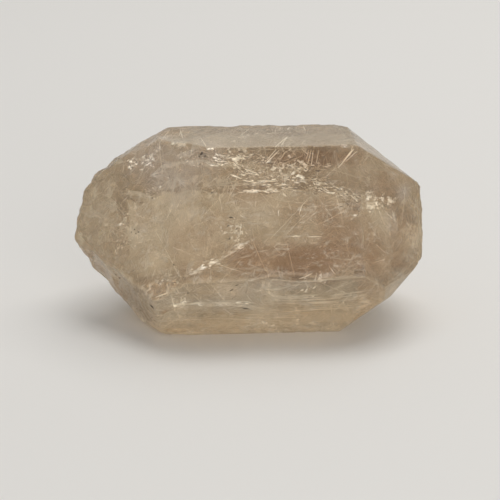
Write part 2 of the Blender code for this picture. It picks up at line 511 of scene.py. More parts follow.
# %% [markdown]
# ## Under the finished surface
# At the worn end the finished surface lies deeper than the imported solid's, in places by most of a
# millimetre. Nothing that grew inside the quartz may stick out there, so what comes too near the
# finished surface is left out. The same surface is where the dark grains lie.

# %% Measure from the finished surface
FINISHED_COVER_MM = 0.08

bpy.context.view_layer.update()
finished_surface = BVHTree.FromObject(crystal, bpy.context.evaluated_depsgraph_get())


def covered(points):
    """Whether every point lies well under the finished surface."""
    for point in points:
        nearest, normal, _, distance = finished_surface.find_nearest(point)
        if (point - nearest).dot(normal) > 0.0 or distance < FINISHED_COVER_MM * MM:
            return False
    return True


def finished_at(pixel):
    """Where the line of sight through a pixel meets the finished surface, and its normal."""
    sight = through_pixel(camera_axes, pixel, picture_middle)
    point, normal, _, _ = finished_surface.ray_cast(camera_place, sight)
    return point, normal


finished_point, _ = finished_at(picture_middle)
print("relief at the picture's middle:", round((finished_point - middle_point).length / MM, 3), "mm")

# %% [markdown]
# ## Quartz as a material
# Clear quartz is a Principled BSDF with a high Transmission Weight, quartz's index and a Volume
# Absorption that browns the light a little more with each centimetre. Nothing in this crystal is
# water-clear, so part of the weight stays with the diffuse base, which gives the milky look.
# Smoke in quartz comes in soft clouds. Each cloud is a mask around a place in the crystal: a small
# shader group measures the distance to that place, ragged by noise, and fades it from 1 to 0.

# %% A group for soft clouds


def cloud_group():
    """A shader group: 1 at a place and fading to 0 at its reach, with a ragged rim."""
    inputs = {
        "Position": "NodeSocketVector",
        "Centre": "NodeSocketVector",
        "Reach": "NodeSocketVector",
        "Raggedness": "NodeSocketFloat",
    }
    tree, given = new_group("soft cloud", "ShaderNodeTree", inputs, {"Mask": "NodeSocketFloat"})
    place = given["Position"]
    away = vector_node(tree, "SUBTRACT", {0: place, 1: given["Centre"]})
    scaled = vector_node(tree, "DIVIDE", {0: away.outputs["Vector"], 1: given["Reach"]})
    length = vector_node(tree, "LENGTH", {0: scaled.outputs["Vector"]})
    rough = add_node(tree, "ShaderNodeTexNoise", {"Vector": place, "Scale": 140.0, "Detail": 3.0})
    centred = calculated(tree, "SUBTRACT", rough.outputs["Fac"], 0.5)
    swing = calculated(tree, "MULTIPLY", centred, given["Raggedness"])
    ragged = calculated(tree, "ADD", length.outputs["Value"], swing)
    fade = add_node(
        tree,
        "ShaderNodeMapRange",
        {"Value": ragged, "From Min": 1.0, "From Max": 0.2, "To Min": 0.0, "To Max": 1.0},
        interpolation_type="SMOOTHSTEP",
    )
    add_node(tree, "NodeGroupOutput", {"Mask": fade.outputs["Result"]})
    return tree


soft_cloud = cloud_group()
print("group:", soft_cloud.name, [item.name for item in soft_cloud.interface.items_tree])

# %% [markdown]
# ## Wisps in the quartz
# Between the bright needles the whole crystal is brushed with finer wisps than a mesh can hold:
# short pale and brown strokes that run side by side, curl, and gather in patches. They are noise
# that is stretched along one direction and cut off below a threshold. A slow second noise bends
# the strokes, and a third decides where they are dense. One group makes them, and the material
# uses it several times with other directions and sizes.

# %% A group for fine streaks


def streak_group():
    """A shader group: thin broken streaks that all run about one way and curl a little."""
    inputs = {
        "Position": "NodeSocketVector",
        "Turn": "NodeSocketVector",
        "Slenderness": "NodeSocketVector",
        "Scale": "NodeSocketFloat",
        "Curl": "NodeSocketFloat",
        "Threshold": "NodeSocketFloat",
    }
    tree, given = new_group("fine streaks", "ShaderNodeTree", inputs, {"Mask": "NodeSocketFloat"})
    place = given["Position"]
    bend = add_node(tree, "ShaderNodeTexNoise", {"Vector": place, "Scale": 170.0, "Detail": 1.0})
    centred = vector_node(tree, "SUBTRACT", {0: bend.outputs["Color"], 1: (0.5, 0.5, 0.5)})
    swing = vector_node(tree, "SCALE", {0: centred.outputs["Vector"], "Scale": given["Curl"]})
    curled = vector_node(tree, "ADD", {0: place, 1: swing.outputs["Vector"]})
    stretched = {
        "Vector": curled.outputs["Vector"],
        "Rotation": given["Turn"],
        "Scale": given["Slenderness"],
    }
    stretch = add_node(tree, "ShaderNodeMapping", stretched, vector_type="TEXTURE")
    strokes = {
        "Vector": stretch.outputs["Vector"],
        "Scale": given["Scale"],
        "Detail": 2.0,
        "Roughness": 0.6,
    }
    streak = add_node(tree, "ShaderNodeTexNoise", strokes)
    patches = add_node(tree, "ShaderNodeTexNoise", {"Vector": place, "Scale": 210.0, "Detail": 2.0})
    dense = calculated(tree, "MULTIPLY_ADD", patches.outputs["Fac"], 0.36, -0.18)
    gathered = calculated(tree, "ADD", streak.outputs["Fac"], dense)
    past = calculated(tree, "SUBTRACT", gathered, given["Threshold"])
    fade = add_node(
        tree,
        "ShaderNodeMapRange",
        {"Value": past, "From Max": 0.10},
        interpolation_type="SMOOTHSTEP",
    )
    add_node(tree, "NodeGroupOutput", {"Mask": fade.outputs["Result"]})
    return tree


fine_streaks = streak_group()
print("group:", fine_streaks.name, [item.name for item in fine_streaks.interface.items_tree])

# %% [markdown]
# ## The smoky quartz itself
# The colour is laid down in layers, each a mask times a strength: a mottled ground, the frosted
# broken ends, a painted grey reflection on the top face and a painted pale highlight on the narrow
# face, then smoke, milk and honey in soft clouds, the dark and the pale wisps, and last the bruised
# edges. Smoke follows no rule, so each cloud is placed where the picture shows it, and two brown
# clouds under the worn end are painted shade. Fine noise bumps the surface, which is satin and not
# polished.

# %% Colours and strengths
ABSORPTION_COLOUR = (0.79, 0.61, 0.37, 1.0)
ABSORPTION_DENSITY = 15.0
TRANSMISSION = 0.80
CLEAN_ROUGHNESS = 0.15
BROKEN_ROUGHNESS = 0.27
EDGE_ROUGHNESS = 0.10
BROKEN_TINT = 0.5
EDGE_TINT = 0.30
DARK_STREAK_TINT = 0.30
PALE_STREAK_TINT = 0.40
PALE_QUARTZ = (0.84, 0.73, 0.55, 1.0)
GREY_QUARTZ = (0.56, 0.46, 0.32, 1.0)
BROWN_QUARTZ = (0.30, 0.16, 0.08, 1.0)
MILKY_QUARTZ = (0.95, 0.88, 0.75, 1.0)
COOL_QUARTZ = (0.96, 0.93, 0.90, 1.0)
HONEY_QUARTZ = (0.94, 0.72, 0.46, 1.0)
FROSTED_QUARTZ = (0.78, 0.68, 0.50, 1.0)
STREAK_PALE = (1.0, 0.96, 0.86, 1.0)
STREAK_DARK = (0.22, 0.15, 0.09, 1.0)

# A face's painted light is the name of its mask, the strength and the colour: a grey reflection on
# the top face and a pale highlight on the narrow face.
PAINTED_FACE_LIGHTS = (
    ("top_face_reflection", 0.45, (0.68, 0.66, 0.58, 1.0)),
    ("narrow_face_highlight", 0.60, (0.95, 0.92, 0.84, 1.0)),
)

# %% Where the clouds lie and how the wisps run

# A cloud is its colour, the pixel of its middle, its reach along, across and up in mm, its
# raggedness and how strongly it tints.
CLOUDS = (
    (BROWN_QUARTZ, (298, 264), (21.0, 12.0, 7.0), 0.8, 0.84),
    (BROWN_QUARTZ, (254, 258), (11.0, 10.0, 7.0), 0.8, 0.70),
    (BROWN_QUARTZ, (342, 244), (16.0, 10.0, 12.0), 0.8, 0.68),
    (BROWN_QUARTZ, (142, 216), (8.0, 8.0, 6.0), 0.9, 0.28),
    (BROWN_QUARTZ, (214, 226), (8.0, 8.0, 6.0), 0.9, 0.28),
    (BROWN_QUARTZ, (312, 158), (19.0, 8.0, 3.6), 0.8, 0.66),
    (BROWN_QUARTZ, (250, 196), (9.0, 7.0, 3.5), 0.9, 0.38),
    (BROWN_QUARTZ, (196, 272), (10.0, 8.0, 5.0), 0.9, 0.38),
    (BROWN_QUARTZ, (318, 212), (13.0, 8.0, 6.5), 0.9, 0.50),
    (BROWN_QUARTZ, (185, 242), (14.0, 9.0, 7.0), 0.9, 0.34),
    (BROWN_QUARTZ, (150, 290), (9.0, 9.0, 5.0), 0.9, 0.38),
    # The next two brown clouds are painted shade on the underside of the worn end, which faces the
    # floor.
    (BROWN_QUARTZ, (130, 302), (16.0, 16.0, 8.0), 0.7, 0.40),
    (BROWN_QUARTZ, (92, 262), (8.0, 12.0, 7.0), 0.7, 0.40),
    (BROWN_QUARTZ, (385, 262), (11.0, 14.0, 11.0), 0.8, 0.50),
    (BROWN_QUARTZ, (385, 185), (9.0, 12.0, 6.0), 0.8, 0.35),
    (BROWN_QUARTZ, (398, 222), (7.0, 12.0, 7.0), 0.8, 0.36),
    (COOL_QUARTZ, (152, 158), (14.0, 10.0, 8.0), 1.0, 0.62),
    (COOL_QUARTZ, (178, 180), (14.0, 9.0, 7.0), 1.0, 0.55),
    (COOL_QUARTZ, (200, 156), (11.0, 8.0, 6.0), 1.0, 0.50),
    (COOL_QUARTZ, (240, 290), (9.0, 7.0, 4.0), 1.0, 0.35),
    (MILKY_QUARTZ, (176, 208), (15.0, 9.0, 6.0), 1.0, 0.24),
    (MILKY_QUARTZ, (252, 215), (9.0, 8.0, 5.0), 1.0, 0.20),
    (MILKY_QUARTZ, (290, 286), (8.5, 6.0, 1.8), 0.5, 0.45),
    (MILKY_QUARTZ, (232, 302), (17.0, 7.0, 4.5), 0.9, 0.42),
    (MILKY_QUARTZ, (398, 282), (4.5, 6.0, 4.0), 0.6, 0.40),
    (MILKY_QUARTZ, (391, 222), (2.4, 6.0, 6.0), 0.7, 0.50),
    (COOL_QUARTZ, (403, 191), (3.2, 6.0, 3.4), 0.8, 0.55),
    (HONEY_QUARTZ, (330, 316), (27.0, 12.0, 7.5), 0.7, 0.72),
    (HONEY_QUARTZ, (220, 326), (27.0, 12.0, 5.5), 0.7, 0.65),
    (HONEY_QUARTZ, (215, 290), (16.0, 9.0, 5.0), 0.9, 0.40),
)

# Streaks are their turn about the line of sight in degrees, how many times longer than wide,
# their scale, their curl in mm and their threshold.
PALE_STREAKS = (
    (4.0, 9.0, 1300.0, 2.4, 0.60),
    (62.0, 9.0, 1500.0, 4.0, 0.61),
    (-48.0, 9.0, 1600.0, 4.4, 0.61),
    (28.0, 10.0, 1200.0, 3.4, 0.62),
)
DARK_STREAKS = (
    (-8.0, 7.0, 1100.0, 3.0, 0.61),
    (40.0, 7.0, 1300.0, 4.0, 0.61),
    (-60.0, 7.0, 1400.0, 4.0, 0.62),
)


# %% Masks and layers


def vertex_mask(tree, label):
    """A mask that the mesh keeps on its vertices."""
    return add_node(tree, "ShaderNodeAttribute", attribute_name=label).outputs["Fac"]


def streak_mask(tree, position, streaks):
    """The strongest of several sets of streaks."""
    strongest = None
    for turn, slenderness, scale, curl_mm, threshold in streaks:
        inputs = {
            "Position": position,
            "Turn": (0.0, math.radians(-turn), 0.0),
            "Slenderness": (slenderness, 1.0, 1.0),
            "Scale": scale,
            "Curl": curl_mm * MM,
            "Threshold": threshold,
        }
        mask = add_node(tree, "ShaderNodeGroup", inputs, node_tree=fine_streaks).outputs["Mask"]
        strongest = mask if strongest is None else calculated(tree, "MAXIMUM", strongest, mask)
    return strongest


def cloud_mask(tree, position, pixel, reach_mm, raggedness):
    """The mask of a soft cloud round the place that shows at a pixel."""
    centre, _, _ = surface_at(pixel)
    inputs = {
        "Position": position,
        "Centre": centre,
        "Reach": Vector(reach_mm) * MM,
        "Raggedness": raggedness,
    }
    return add_node(tree, "ShaderNodeGroup", inputs, node_tree=soft_cloud).outputs["Mask"]


def mixed_colour(tree, share, first, second):
    """The first colour where a share is 0 and the second where it is 1."""
    # The Mix node's colour sockets share their names with others, so they go by number.
    inputs = {0: share, 6: first, 7: second}
    return add_node(tree, "ShaderNodeMix", inputs, data_type="RGBA").outputs[2]


def tint(tree, below, mask, strength, colour):
    """Mix a colour over another by a mask times a strength."""
    return mixed_colour(tree, calculated(tree, "MULTIPLY", mask, strength), below, colour)


def layered_colour(tree, place):
    """The quartz's colour, layer upon layer."""
    mottle = add_node(
        tree,
        "ShaderNodeTexNoise",
        {"Vector": place, "Scale": 90.0, "Detail": 6.0, "Distortion": 0.8},
    )
    ground = add_node(
        tree,
        "ShaderNodeMapRange",
        {"Value": mottle.outputs["Fac"], "From Min": 0.36, "From Max": 0.64},
    )
    colour = mixed_colour(tree, ground.outputs["Result"], GREY_QUARTZ, PALE_QUARTZ)
    colour = tint(tree, colour, vertex_mask(tree, "dull"), BROKEN_TINT, FROSTED_QUARTZ)
    # Painted light: a grey reflection on the top face and a pale highlight on the narrow face.
    for label, strength, painted_light_colour in PAINTED_FACE_LIGHTS:
        colour = tint(tree, colour, vertex_mask(tree, label), strength, painted_light_colour)
    for cloud_colour, pixel, reach_mm, raggedness, strength in CLOUDS:
        mask = cloud_mask(tree, place, pixel, reach_mm, raggedness)
        colour = tint(tree, colour, mask, strength, cloud_colour)
    dark_streaks = streak_mask(tree, place, DARK_STREAKS)
    colour = tint(tree, colour, dark_streaks, DARK_STREAK_TINT, STREAK_DARK)
    pale_streaks = streak_mask(tree, place, PALE_STREAKS)
    colour = tint(tree, colour, pale_streaks, PALE_STREAK_TINT, STREAK_PALE)
    return tint(tree, colour, vertex_mask(tree, "edge"), EDGE_TINT, FROSTED_QUARTZ)


# %% The smoky quartz material


def smoky_quartz():
    """Milky see-through quartz with clouds of smoke, dull where it is broken."""
    material, tree, surface = new_material("smoky_quartz")
    link = tree.links.new
    surface.inputs["IOR"].default_value = QUARTZ_INDEX
    surface.inputs["Transmission Weight"].default_value = TRANSMISSION
    place = add_node(tree, "ShaderNodeTexCoord").outputs["Object"]
    link(layered_colour(tree, place), surface.inputs["Base Color"])

    satin = add_node(
        tree,
        "ShaderNodeMapRange",
        {"Value": vertex_mask(tree, "dull"), "To Min": CLEAN_ROUGHNESS, "To Max": BROKEN_ROUGHNESS},
    )
    bruise = calculated(tree, "MULTIPLY", vertex_mask(tree, "edge"), EDGE_ROUGHNESS)
    roughness = calculated(tree, "ADD", satin.outputs["Result"], bruise)
    link(roughness, surface.inputs["Roughness"])

    grain = add_node(tree, "ShaderNodeTexNoise", {"Vector": place, "Scale": 900.0, "Detail": 4.0})
    bump = add_node(
        tree,
        "ShaderNodeBump",
        {"Height": grain.outputs["Fac"], "Strength": 0.30, "Distance": 0.0002},
    )
    link(bump.outputs["Normal"], surface.inputs["Normal"])

    absorption = add_node(tree, "ShaderNodeVolumeAbsorption")
    absorption.inputs["Color"].default_value = ABSORPTION_COLOUR
    absorption.inputs["Density"].default_value = ABSORPTION_DENSITY
    link(absorption.outputs["Volume"], tree.nodes["Material Output"].inputs["Volume"])
    return material


crystal.data.materials.clear()
crystal.data.materials.append(smoky_quartz())
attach(crystal, "root")
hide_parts("quartz_crystal")
print("clouds in the quartz:", len(CLOUDS))

# %% [markdown]
# ## Needles and hairs: one tree for every fibre
# Rutile grows in quartz as straight golden needles, here from 0.04 to 0.26 mm thick, and fine hairs
# and growth tubes curl between them. Each could be a curve object, but thousands of curves are
# slow, and hair particles are lost when a model is exported. So all fibres of one kind are one
# mesh of bare lines, with a thickness at each point, and one Geometry Nodes tree turns the lines
# into thin tapered tubes.

# %% The fibre tree


def fibre_tree():
    """A Geometry Nodes tree that wraps a tapered tube around each line of a mesh."""
    inputs = {
        "Lines": "NodeSocketGeometry",
        "Sides": "NodeSocketInt",
        "Tip Width": "NodeSocketFloat",
        "Material": "NodeSocketMaterial",
    }
    outputs = {"Fibres": "NodeSocketGeometry"}
    tree, given = new_group("fibres along lines", "GeometryNodeTree", inputs, outputs)
    tree.is_modifier = True
    curve = add_node(tree, "GeometryNodeMeshToCurve", {"Mesh": given["Lines"]})

    # The tube keeps its width along the middle and narrows towards both ends.
    along = add_node(tree, "GeometryNodeSplineParameter")
    from_middle = calculated(tree, "MULTIPLY_ADD", along.outputs["Factor"], 2.0, -1.0)
    steep = calculated(tree, "POWER", calculated(tree, "ABSOLUTE", from_middle), 3.0)
    narrowing = {"Value": steep, "To Min": 1.0, "To Max": given["Tip Width"]}
    taper = add_node(tree, "ShaderNodeMapRange", narrowing)
    thickness = add_node(tree, "GeometryNodeInputNamedAttribute", {"Name": "thickness"})
    width = calculated(tree, "MULTIPLY", thickness.outputs["Attribute"], taper.outputs["Result"])

    round_section = {"Resolution": given["Sides"], "Radius": 0.5}
    ring = add_node(tree, "GeometryNodeCurvePrimitiveCircle", round_section)
    wrapped = {
        "Curve": curve.outputs["Curve"],
        "Profile Curve": ring.outputs["Curve"],
        "Scale": width,
        "Fill Caps": True,
    }
    tube = add_node(tree, "GeometryNodeCurveToMesh", wrapped)
    real = add_node(tree, "GeometryNodeRealizeInstances", {"Geometry": tube.outputs["Mesh"]})
    dressed = {"Geometry": real.outputs["Geometry"], "Material": given["Material"]}
    finish = add_node(tree, "GeometryNodeSetMaterial", dressed)
    add_node(tree, "NodeGroupOutput", {"Fibres": finish.outputs["Geometry"]})
    return tree


# %% Turn lines into fibres


def set_inputs(modifier, values):
    """Set a Geometry Nodes modifier's inputs by their sockets' identifiers."""
    for item in modifier.node_group.interface.items_tree:
        if item.name in values:
            modifier[item.identifier] = values[item.name]


def fibres_from(name, lines, tree, material, sides, tip_width):
    """One mesh of tubes from lines, each a list of points and a thickness in mm."""
    lines = [line for line in lines if covered(line[0])]
    points = []
    pairs = []
    widths = []
    for line, thickness_mm in lines:
        start = len(points)
        points += [tuple(point) for point in line]
        pairs += [(start + step, start + step + 1) for step in range(len(line) - 1)]
        widths += [thickness_mm * MM] * len(line)
    mesh = bpy.data.meshes.new(name)
    mesh.from_pydata(points, pairs, [])
    attribute = mesh.attributes.new("thickness", "FLOAT", "POINT")
    attribute.data.foreach_set("value", widths)
    made = new_object(name, mesh)
    modifier = made.modifiers.new("fibres", "NODES")
    modifier.node_group = tree
    set_inputs(modifier, {"Sides": sides, "Tip Width": tip_width, "Material": material})
    apply_modifiers(made)
    made.data.shade_smooth()
    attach(made, "root")
    print(name, ":", len(lines), "fibres,", triangle_count(made), "triangles")
    return made


fibre_nodes = fibre_tree()

# %% [markdown]
# ## The finish of what lies inside
# Needles of rutile are pale gold and silky, hairs are browner, healed cracks and growth lines run
# from grey to silver, and the grains are nearly black. The colour of each wanders a little, so a
# noise on Object coordinates mixes two tones.
# In the real crystal needles and flakes glint, where the quartz throws light on them. A renderer
# rarely follows light that way, so all but the dark mineral glow a little in place of the glints.

# %% Materials of what lies inside

# A mineral is its name, its darker and its paler tone, the scale of its noise, its roughness, its
# metallic value and its glow, which is a painted glint.
MINERALS = (
    ("rutile", (0.96, 0.90, 0.77, 1.0), (1.0, 0.99, 0.95, 1.0), 300.0, 0.35, 0.3, 0.70),
    ("rutile_hair", (0.66, 0.58, 0.46, 1.0), (1.0, 0.97, 0.92, 1.0), 160.0, 0.4, 0.1, 0.22),
    ("healed_crack", (0.42, 0.36, 0.28, 1.0), (1.0, 0.99, 0.95, 1.0), 800.0, 0.35, 0.3, 0.74),
    ("growth_line", (0.60, 0.54, 0.44, 1.0), (1.0, 0.97, 0.90, 1.0), 260.0, 0.4, 0.1, 0.34),
    ("dark_mineral", (0.03, 0.025, 0.02, 1.0), (0.12, 0.09, 0.06, 1.0), 900.0, 0.6, 0.0, 0.0),
)


def mineral(name, darker, paler, scale, roughness, metallic, glow):
    """An opaque mineral whose colour wanders between two tones, with a glow that is a painted glint.
    """
    material, tree, surface = new_material(name)
    place = add_node(tree, "ShaderNodeTexCoord").outputs["Object"]
    wander = add_node(tree, "ShaderNodeTexNoise", {"Vector": place, "Scale": scale, "Detail": 3.0})
    spread = add_node(
        tree,
        "ShaderNodeMapRange",
        {"Value": wander.outputs["Fac"], "From Min": 0.35, "From Max": 0.65},
    )
    colour = mixed_colour(tree, spread.outputs["Result"], darker, paler)
    tree.links.new(colour, surface.inputs["Base Color"])
    # The glow is a painted glint.
    tree.links.new(colour, surface.inputs["Emission Color"])
    surface.inputs["Emission Strength"].default_value = glow
    surface.inputs["Roughness"].default_value = roughness
    surface.inputs["Metallic"].default_value = metallic
    return material


gold, hair_gold, silver, faint, dark = [mineral(*given) for given in MINERALS]
print("minerals:", [given[0] for given in MINERALS])

# %% [markdown]
# ## The needles that the eye finds first
# About thirty needles are bright enough to be landmarks, such as a pair on the top face, an
# upright spray under the top edge and a bundle to its right. Each is given by its two ends in
# the picture and by how deep it lies.

# %% Where the landmark needles lie

# A needle is the pixels of its ends, the depths of its ends and its thickness, both in mm.
LANDMARK_NEEDLES = (
    ((275.5, 146.3), (287.0, 137.0), 0.4, 0.4, 0.26),
    ((281.0, 145.5), (287.5, 136.7), 0.4, 0.4, 0.20),
    ((240.5, 135.5), (249.5, 128.5), 0.4, 0.4, 0.16),
    ((303.3, 126.2), (305.5, 130.5), 0.4, 0.4, 0.16),
    ((180.0, 130.5), (183.0, 138.0), 0.4, 0.4, 0.15),
    ((200.0, 137.0), (206.0, 146.0), 0.4, 0.4, 0.15),
    ((265.5, 163.8), (279.5, 150.0), 0.6, 0.5, 0.22),
    ((267.0, 160.0), (276.0, 149.5), 0.6, 0.5, 0.17),
    ((280.0, 160.0), (285.5, 151.5), 0.6, 0.5, 0.17),
    ((307.7, 163.8), (311.3, 149.5), 0.6, 0.5, 0.22),
    ((311.3, 165.5), (313.3, 149.8), 0.6, 0.5, 0.18),
    ((316.3, 163.0), (318.8, 149.8), 0.6, 0.5, 0.20),
    ((306.0, 160.0), (309.0, 150.0), 0.6, 0.5, 0.15),
    ((338.0, 168.0), (354.0, 149.0), 0.6, 0.5, 0.24),
    ((341.5, 163.5), (351.5, 150.5), 0.5, 0.5, 0.20),
    ((345.5, 161.5), (356.5, 151.5), 0.5, 0.5, 0.16),
    ((349.5, 156.5), (352.5, 146.5), 0.4, 0.4, 0.16),
    ((298.8, 214.7), (302.2, 204.7), 0.5, 0.5, 0.24),
    ((278.4, 215.5), (278.7, 209.7), 0.5, 0.5, 0.20),
    ((298.8, 279.0), (312.2, 273.6), 0.5, 0.5, 0.24),
    ((329.7, 267.2), (334.7, 273.8), 0.5, 0.5, 0.20),
    ((308.0, 236.8), (322.0, 236.6), 0.6, 0.6, 0.20),
    ((310.5, 243.0), (317.0, 243.0), 0.6, 0.6, 0.18),
    ((290.5, 236.6), (299.5, 236.2), 0.6, 0.6, 0.20),
    ((253.0, 241.5), (261.3, 261.3), 0.5, 0.5, 0.12),
    ((286.3, 241.5), (294.5, 277.0), 0.5, 0.5, 0.11),
    ((286.3, 234.5), (308.0, 211.5), 1.0, 1.0, 0.06),
    ((301.3, 224.7), (321.0, 208.0), 1.0, 1.0, 0.06),
    ((256.5, 181.0), (278.0, 181.0), 0.6, 0.6, 0.20),
    ((242.0, 180.0), (258.0, 183.0), 0.6, 0.6, 0.16),
    ((155.0, 297.3), (168.0, 292.5), 0.5, 0.5, 0.22),
    ((376.0, 244.0), (386.0, 254.0), 0.6, 0.6, 0.13),
)

# %% Place the landmark needles

# A needle keeps its width except near its ends, so its points are close together there.
NEEDLE_STOPS = (0.0, 0.07, 0.25, 0.75, 0.93, 1.0)


def straight(start, end):
    """The points of a straight needle."""
    return [start.lerp(end, share) for share in NEEDLE_STOPS]


landmark_lines = []
for start_pixel, end_pixel, start_depth, end_depth, thickness_mm in LANDMARK_NEEDLES:
    needle = straight(inside_at(start_pixel, start_depth), inside_at(end_pixel, end_depth))
    landmark_lines.append((needle, thickness_mm))
lengths = [round((needle[-1] - needle[0]).length / MM, 1) for needle, _ in landmark_lines]
print("landmark needles:", len(lengths), "from", min(lengths), "to", max(lengths), "mm")

# %% [markdown]
# ## The other needles
# Hundreds more cross the whole crystal, seen from every side. They start at points drawn by chance
# inside it and run in a direction drawn by chance, as far as the quartz reaches: a needle that
# would come out through a face is cut short under it.

# %% Points and directions drawn by chance
NEEDLE_SEED = 5
NEEDLES = 320
NEEDLE_LENGTH_MM = (3.0, 18.0)
NEEDLE_THICKNESS_MM = (0.04, 0.10)
LEAST_COVER_MM = 0.45


def random_direction(chance):
    """A direction with no preference."""
    turn = chance.uniform(0.0, 2.0 * math.pi)
    rise = chance.uniform(-1.0, 1.0)
    flat = math.sqrt(1.0 - rise * rise)
    return Vector((flat * math.cos(turn), flat * math.sin(turn), rise))


def random_inside(chance, cover_mm):
    """A point inside the crystal, with that much quartz over it."""
    low, high = cad_box
    while True:
        point = Vector([chance.uniform(low[axis], high[axis]) for axis in range(3)])
        if depth_inside(point) > cover_mm:
            return point


def reach_inside(point, direction, wanted_mm):
    """The end of a line from a point, cut short before it comes near the surface."""
    hit, _, _, distance = cad_surface.ray_cast(point, direction)
    room_mm = 0.0 if hit is None else distance / MM - 1.5 * LEAST_COVER_MM
    return point + direction * (min(wanted_mm, room_mm) * MM)


# %% Scatter needles through the crystal
chance = random.Random(NEEDLE_SEED)
shortest_mm, longest_mm = NEEDLE_LENGTH_MM
needle_lines = []
while len(needle_lines) < NEEDLES:
    start = random_inside(chance, LEAST_COVER_MM)
    length_mm = shortest_mm + (longest_mm - shortest_mm) * chance.random() ** 2
    end = reach_inside(start, random_direction(chance), length_mm)
    if (end - start).length > shortest_mm * MM and depth_inside(end) > LEAST_COVER_MM:
        needle_lines.append((straight(start, end), chance.uniform(*NEEDLE_THICKNESS_MM)))

needles = fibres_from("rutile_needles", landmark_lines + needle_lines, fibre_nodes, gold, 6, 0.35)

# %% [markdown]
# ## Hairs under the surface
# Under a lens the crystal is full of fine curled hairs and growth tubes, which give it a brushed,
# milky look. They matter most in the first millimetres under each face, so they are sown there:
# from a point drawn by chance on the surface a hair's middle is sunk to a depth that is mostly
# small, and the hair bends in an arc of its own.

# %% Where hairs grow
HAIR_SEED = 21
HAIRS = 5200
HAIR_LENGTH_MM = (1.0, 4.5)
HAIR_THICKNESS_MM = (0.04, 0.10)
HAIR_BEND_MM = (2.5, 14.0)
HAIR_MEAN_DEPTH_MM = 1.6
HAIR_STEPS = 5

# How much of its climb out of the face a hair's direction loses: 1 would lay it flat.
HAIR_FLATTENING = 0.6

# Rays start from a line in the crystal's core and find spots all over its surface.
CORE_REACH = (-0.036, 0.034)
CORE_HEIGHT = 0.0235

# In a few places the quartz is clearer: the pixel of each, its reach in mm and the share of
# the hairs that grew there.
CLEAR_PLACES = (
    ((285, 262), 10.0, 0.25),
    ((325, 250), 11.0, 0.25),
    ((355, 262), 8.0, 0.30),
    ((330, 158), 8.0, 0.35),
    ((385, 260), 9.0, 0.45),
    ((330, 315), 10.0, 0.35),
    ((240, 322), 10.0, 0.45),
    ((115, 232), 9.0, 0.50),
)


def point_under_surface(chance, depth_mm):
    """A point at a depth under a random spot of the surface, and the face's normal there."""
    while True:
        hub = Vector((chance.uniform(*CORE_REACH), 0.0, CORE_HEIGHT))
        spot, normal, _, _ = cad_surface.ray_cast(hub, random_direction(chance))
        if spot is not None:
            return spot - normal * (depth_mm * MM), normal


clear_middles = [(surface_at(pixel)[0], reach, share) for pixel, reach, share in CLEAR_PLACES]


def grows_at(chance, point):
    """Whether a hair grows at a point: always, except in the clearer places."""
    share = 1.0
    for middle, reach_mm, share_there in clear_middles:
        if (point - middle).length < reach_mm * MM:
            share = min(share, share_there)
    return chance.random() < share


# %% Sow the hairs


def arc(middle, along, aside, length_mm, radius_mm):
    """Points of a shallow arc through a middle point."""
    points = []
    for step in range(HAIR_STEPS + 1):
        share = step / HAIR_STEPS - 0.5
        reach = share * length_mm
        points.append(middle + (along * reach + aside * (reach * reach / (2.0 * radius_mm))) * MM)
    return points


chance = random.Random(HAIR_SEED)
hair_lines = []
while len(hair_lines) < HAIRS:
    depth_mm = LEAST_COVER_MM + chance.expovariate(1.0 / HAIR_MEAN_DEPTH_MM)
    middle, normal = point_under_surface(chance, depth_mm)
    if not grows_at(chance, middle):
        continue
    along = random_direction(chance)
    along = (along - normal * (HAIR_FLATTENING * along.dot(normal))).normalized()
    aside = along.cross(random_direction(chance)).normalized()
    length_mm = chance.uniform(*HAIR_LENGTH_MM)
    line = arc(middle, along, aside, length_mm, chance.uniform(*HAIR_BEND_MM))
    if min(depth_inside(point) for point in (line[0], middle, line[-1])) > LEAST_COVER_MM:
        hair_lines.append((line, chance.uniform(*HAIR_THICKNESS_MM)))

hairs = fibres_from("rutile_hairs", hair_lines, fibre_nodes, hair_gold, 3, 0.3)

# %% [markdown]
# ## Fans of hairs
# Many hairs start from one spot and spread like a feather or a fan. A fan needs a foot, a
# direction in the face and a spread, and then all its hairs bend to the same side. The ones that
# the picture shows best are placed by their pixel, and the rest by chance on every side.

# %% The fans' measures
FAN_SEED = 33
FANS = 150
FAN_HAIRS = (7, 20)
FAN_LENGTH_MM = (2.5, 6.5)
FAN_SPREAD = (12.0, 45.0)
FAN_BEND_MM = 8.0
FAN_THICKNESS_MM = (0.05, 0.10)
SEEN_FAN_DEPTH_MM = 0.9
LEAST_FAN_DEPTH_MM = 0.6

# A fan is the pixel of its foot, its slant and spread in degrees, its longest hair in mm, its
# bend radius in mm and how many hairs it has.
SEEN_FANS = (
    ((122, 193), -14, 7, 8.0, 16.0, 16),
    ((129, 196), -20, 8, 5.5, 9.0, 10),
    ((108, 200), 70, 22, 4.0, 7.0, 14),
    ((150, 215), -28, 16, 4.5, 8.0, 16),
    ((138, 232), 20, 40, 4.0, 6.0, 22),
    ((165, 238), 100, 34, 4.5, 7.0, 20),
    ((190, 222), 60, 34, 5.0, 8.0, 22),
    ((205, 236), 120, 30, 5.0, 7.0, 22),
    ((168, 262), 150, 30, 5.0, 7.0, 20),
    ((186, 276), 60, 34, 4.5, 7.0, 20),
    ((146, 270), 80, 30, 4.5, 7.0, 18),
    ((150, 176), 10, 40, 4.5, 8.0, 22),
    ((178, 180), -20, 34, 5.0, 8.0, 20),
    ((214, 186), 12, 24, 6.0, 12.0, 18),
    ((226, 262), 30, 14, 7.0, 18.0, 18),
    ((246, 288), 96, 22, 4.0, 7.0, 14),
    ((330, 226), 30, 36, 3.0, 8.0, 8),
    ((350, 200), 150, 34, 4.0, 8.0, 12),
)


# %% One fan


def pixel_beside(pixel, slant, step):
    """The pixel a step away, where a slant of 0 degrees is to the right and 90 is up."""
    turn = math.radians(slant)
    return pixel[0] + step * math.cos(turn), pixel[1] - step * math.sin(turn)


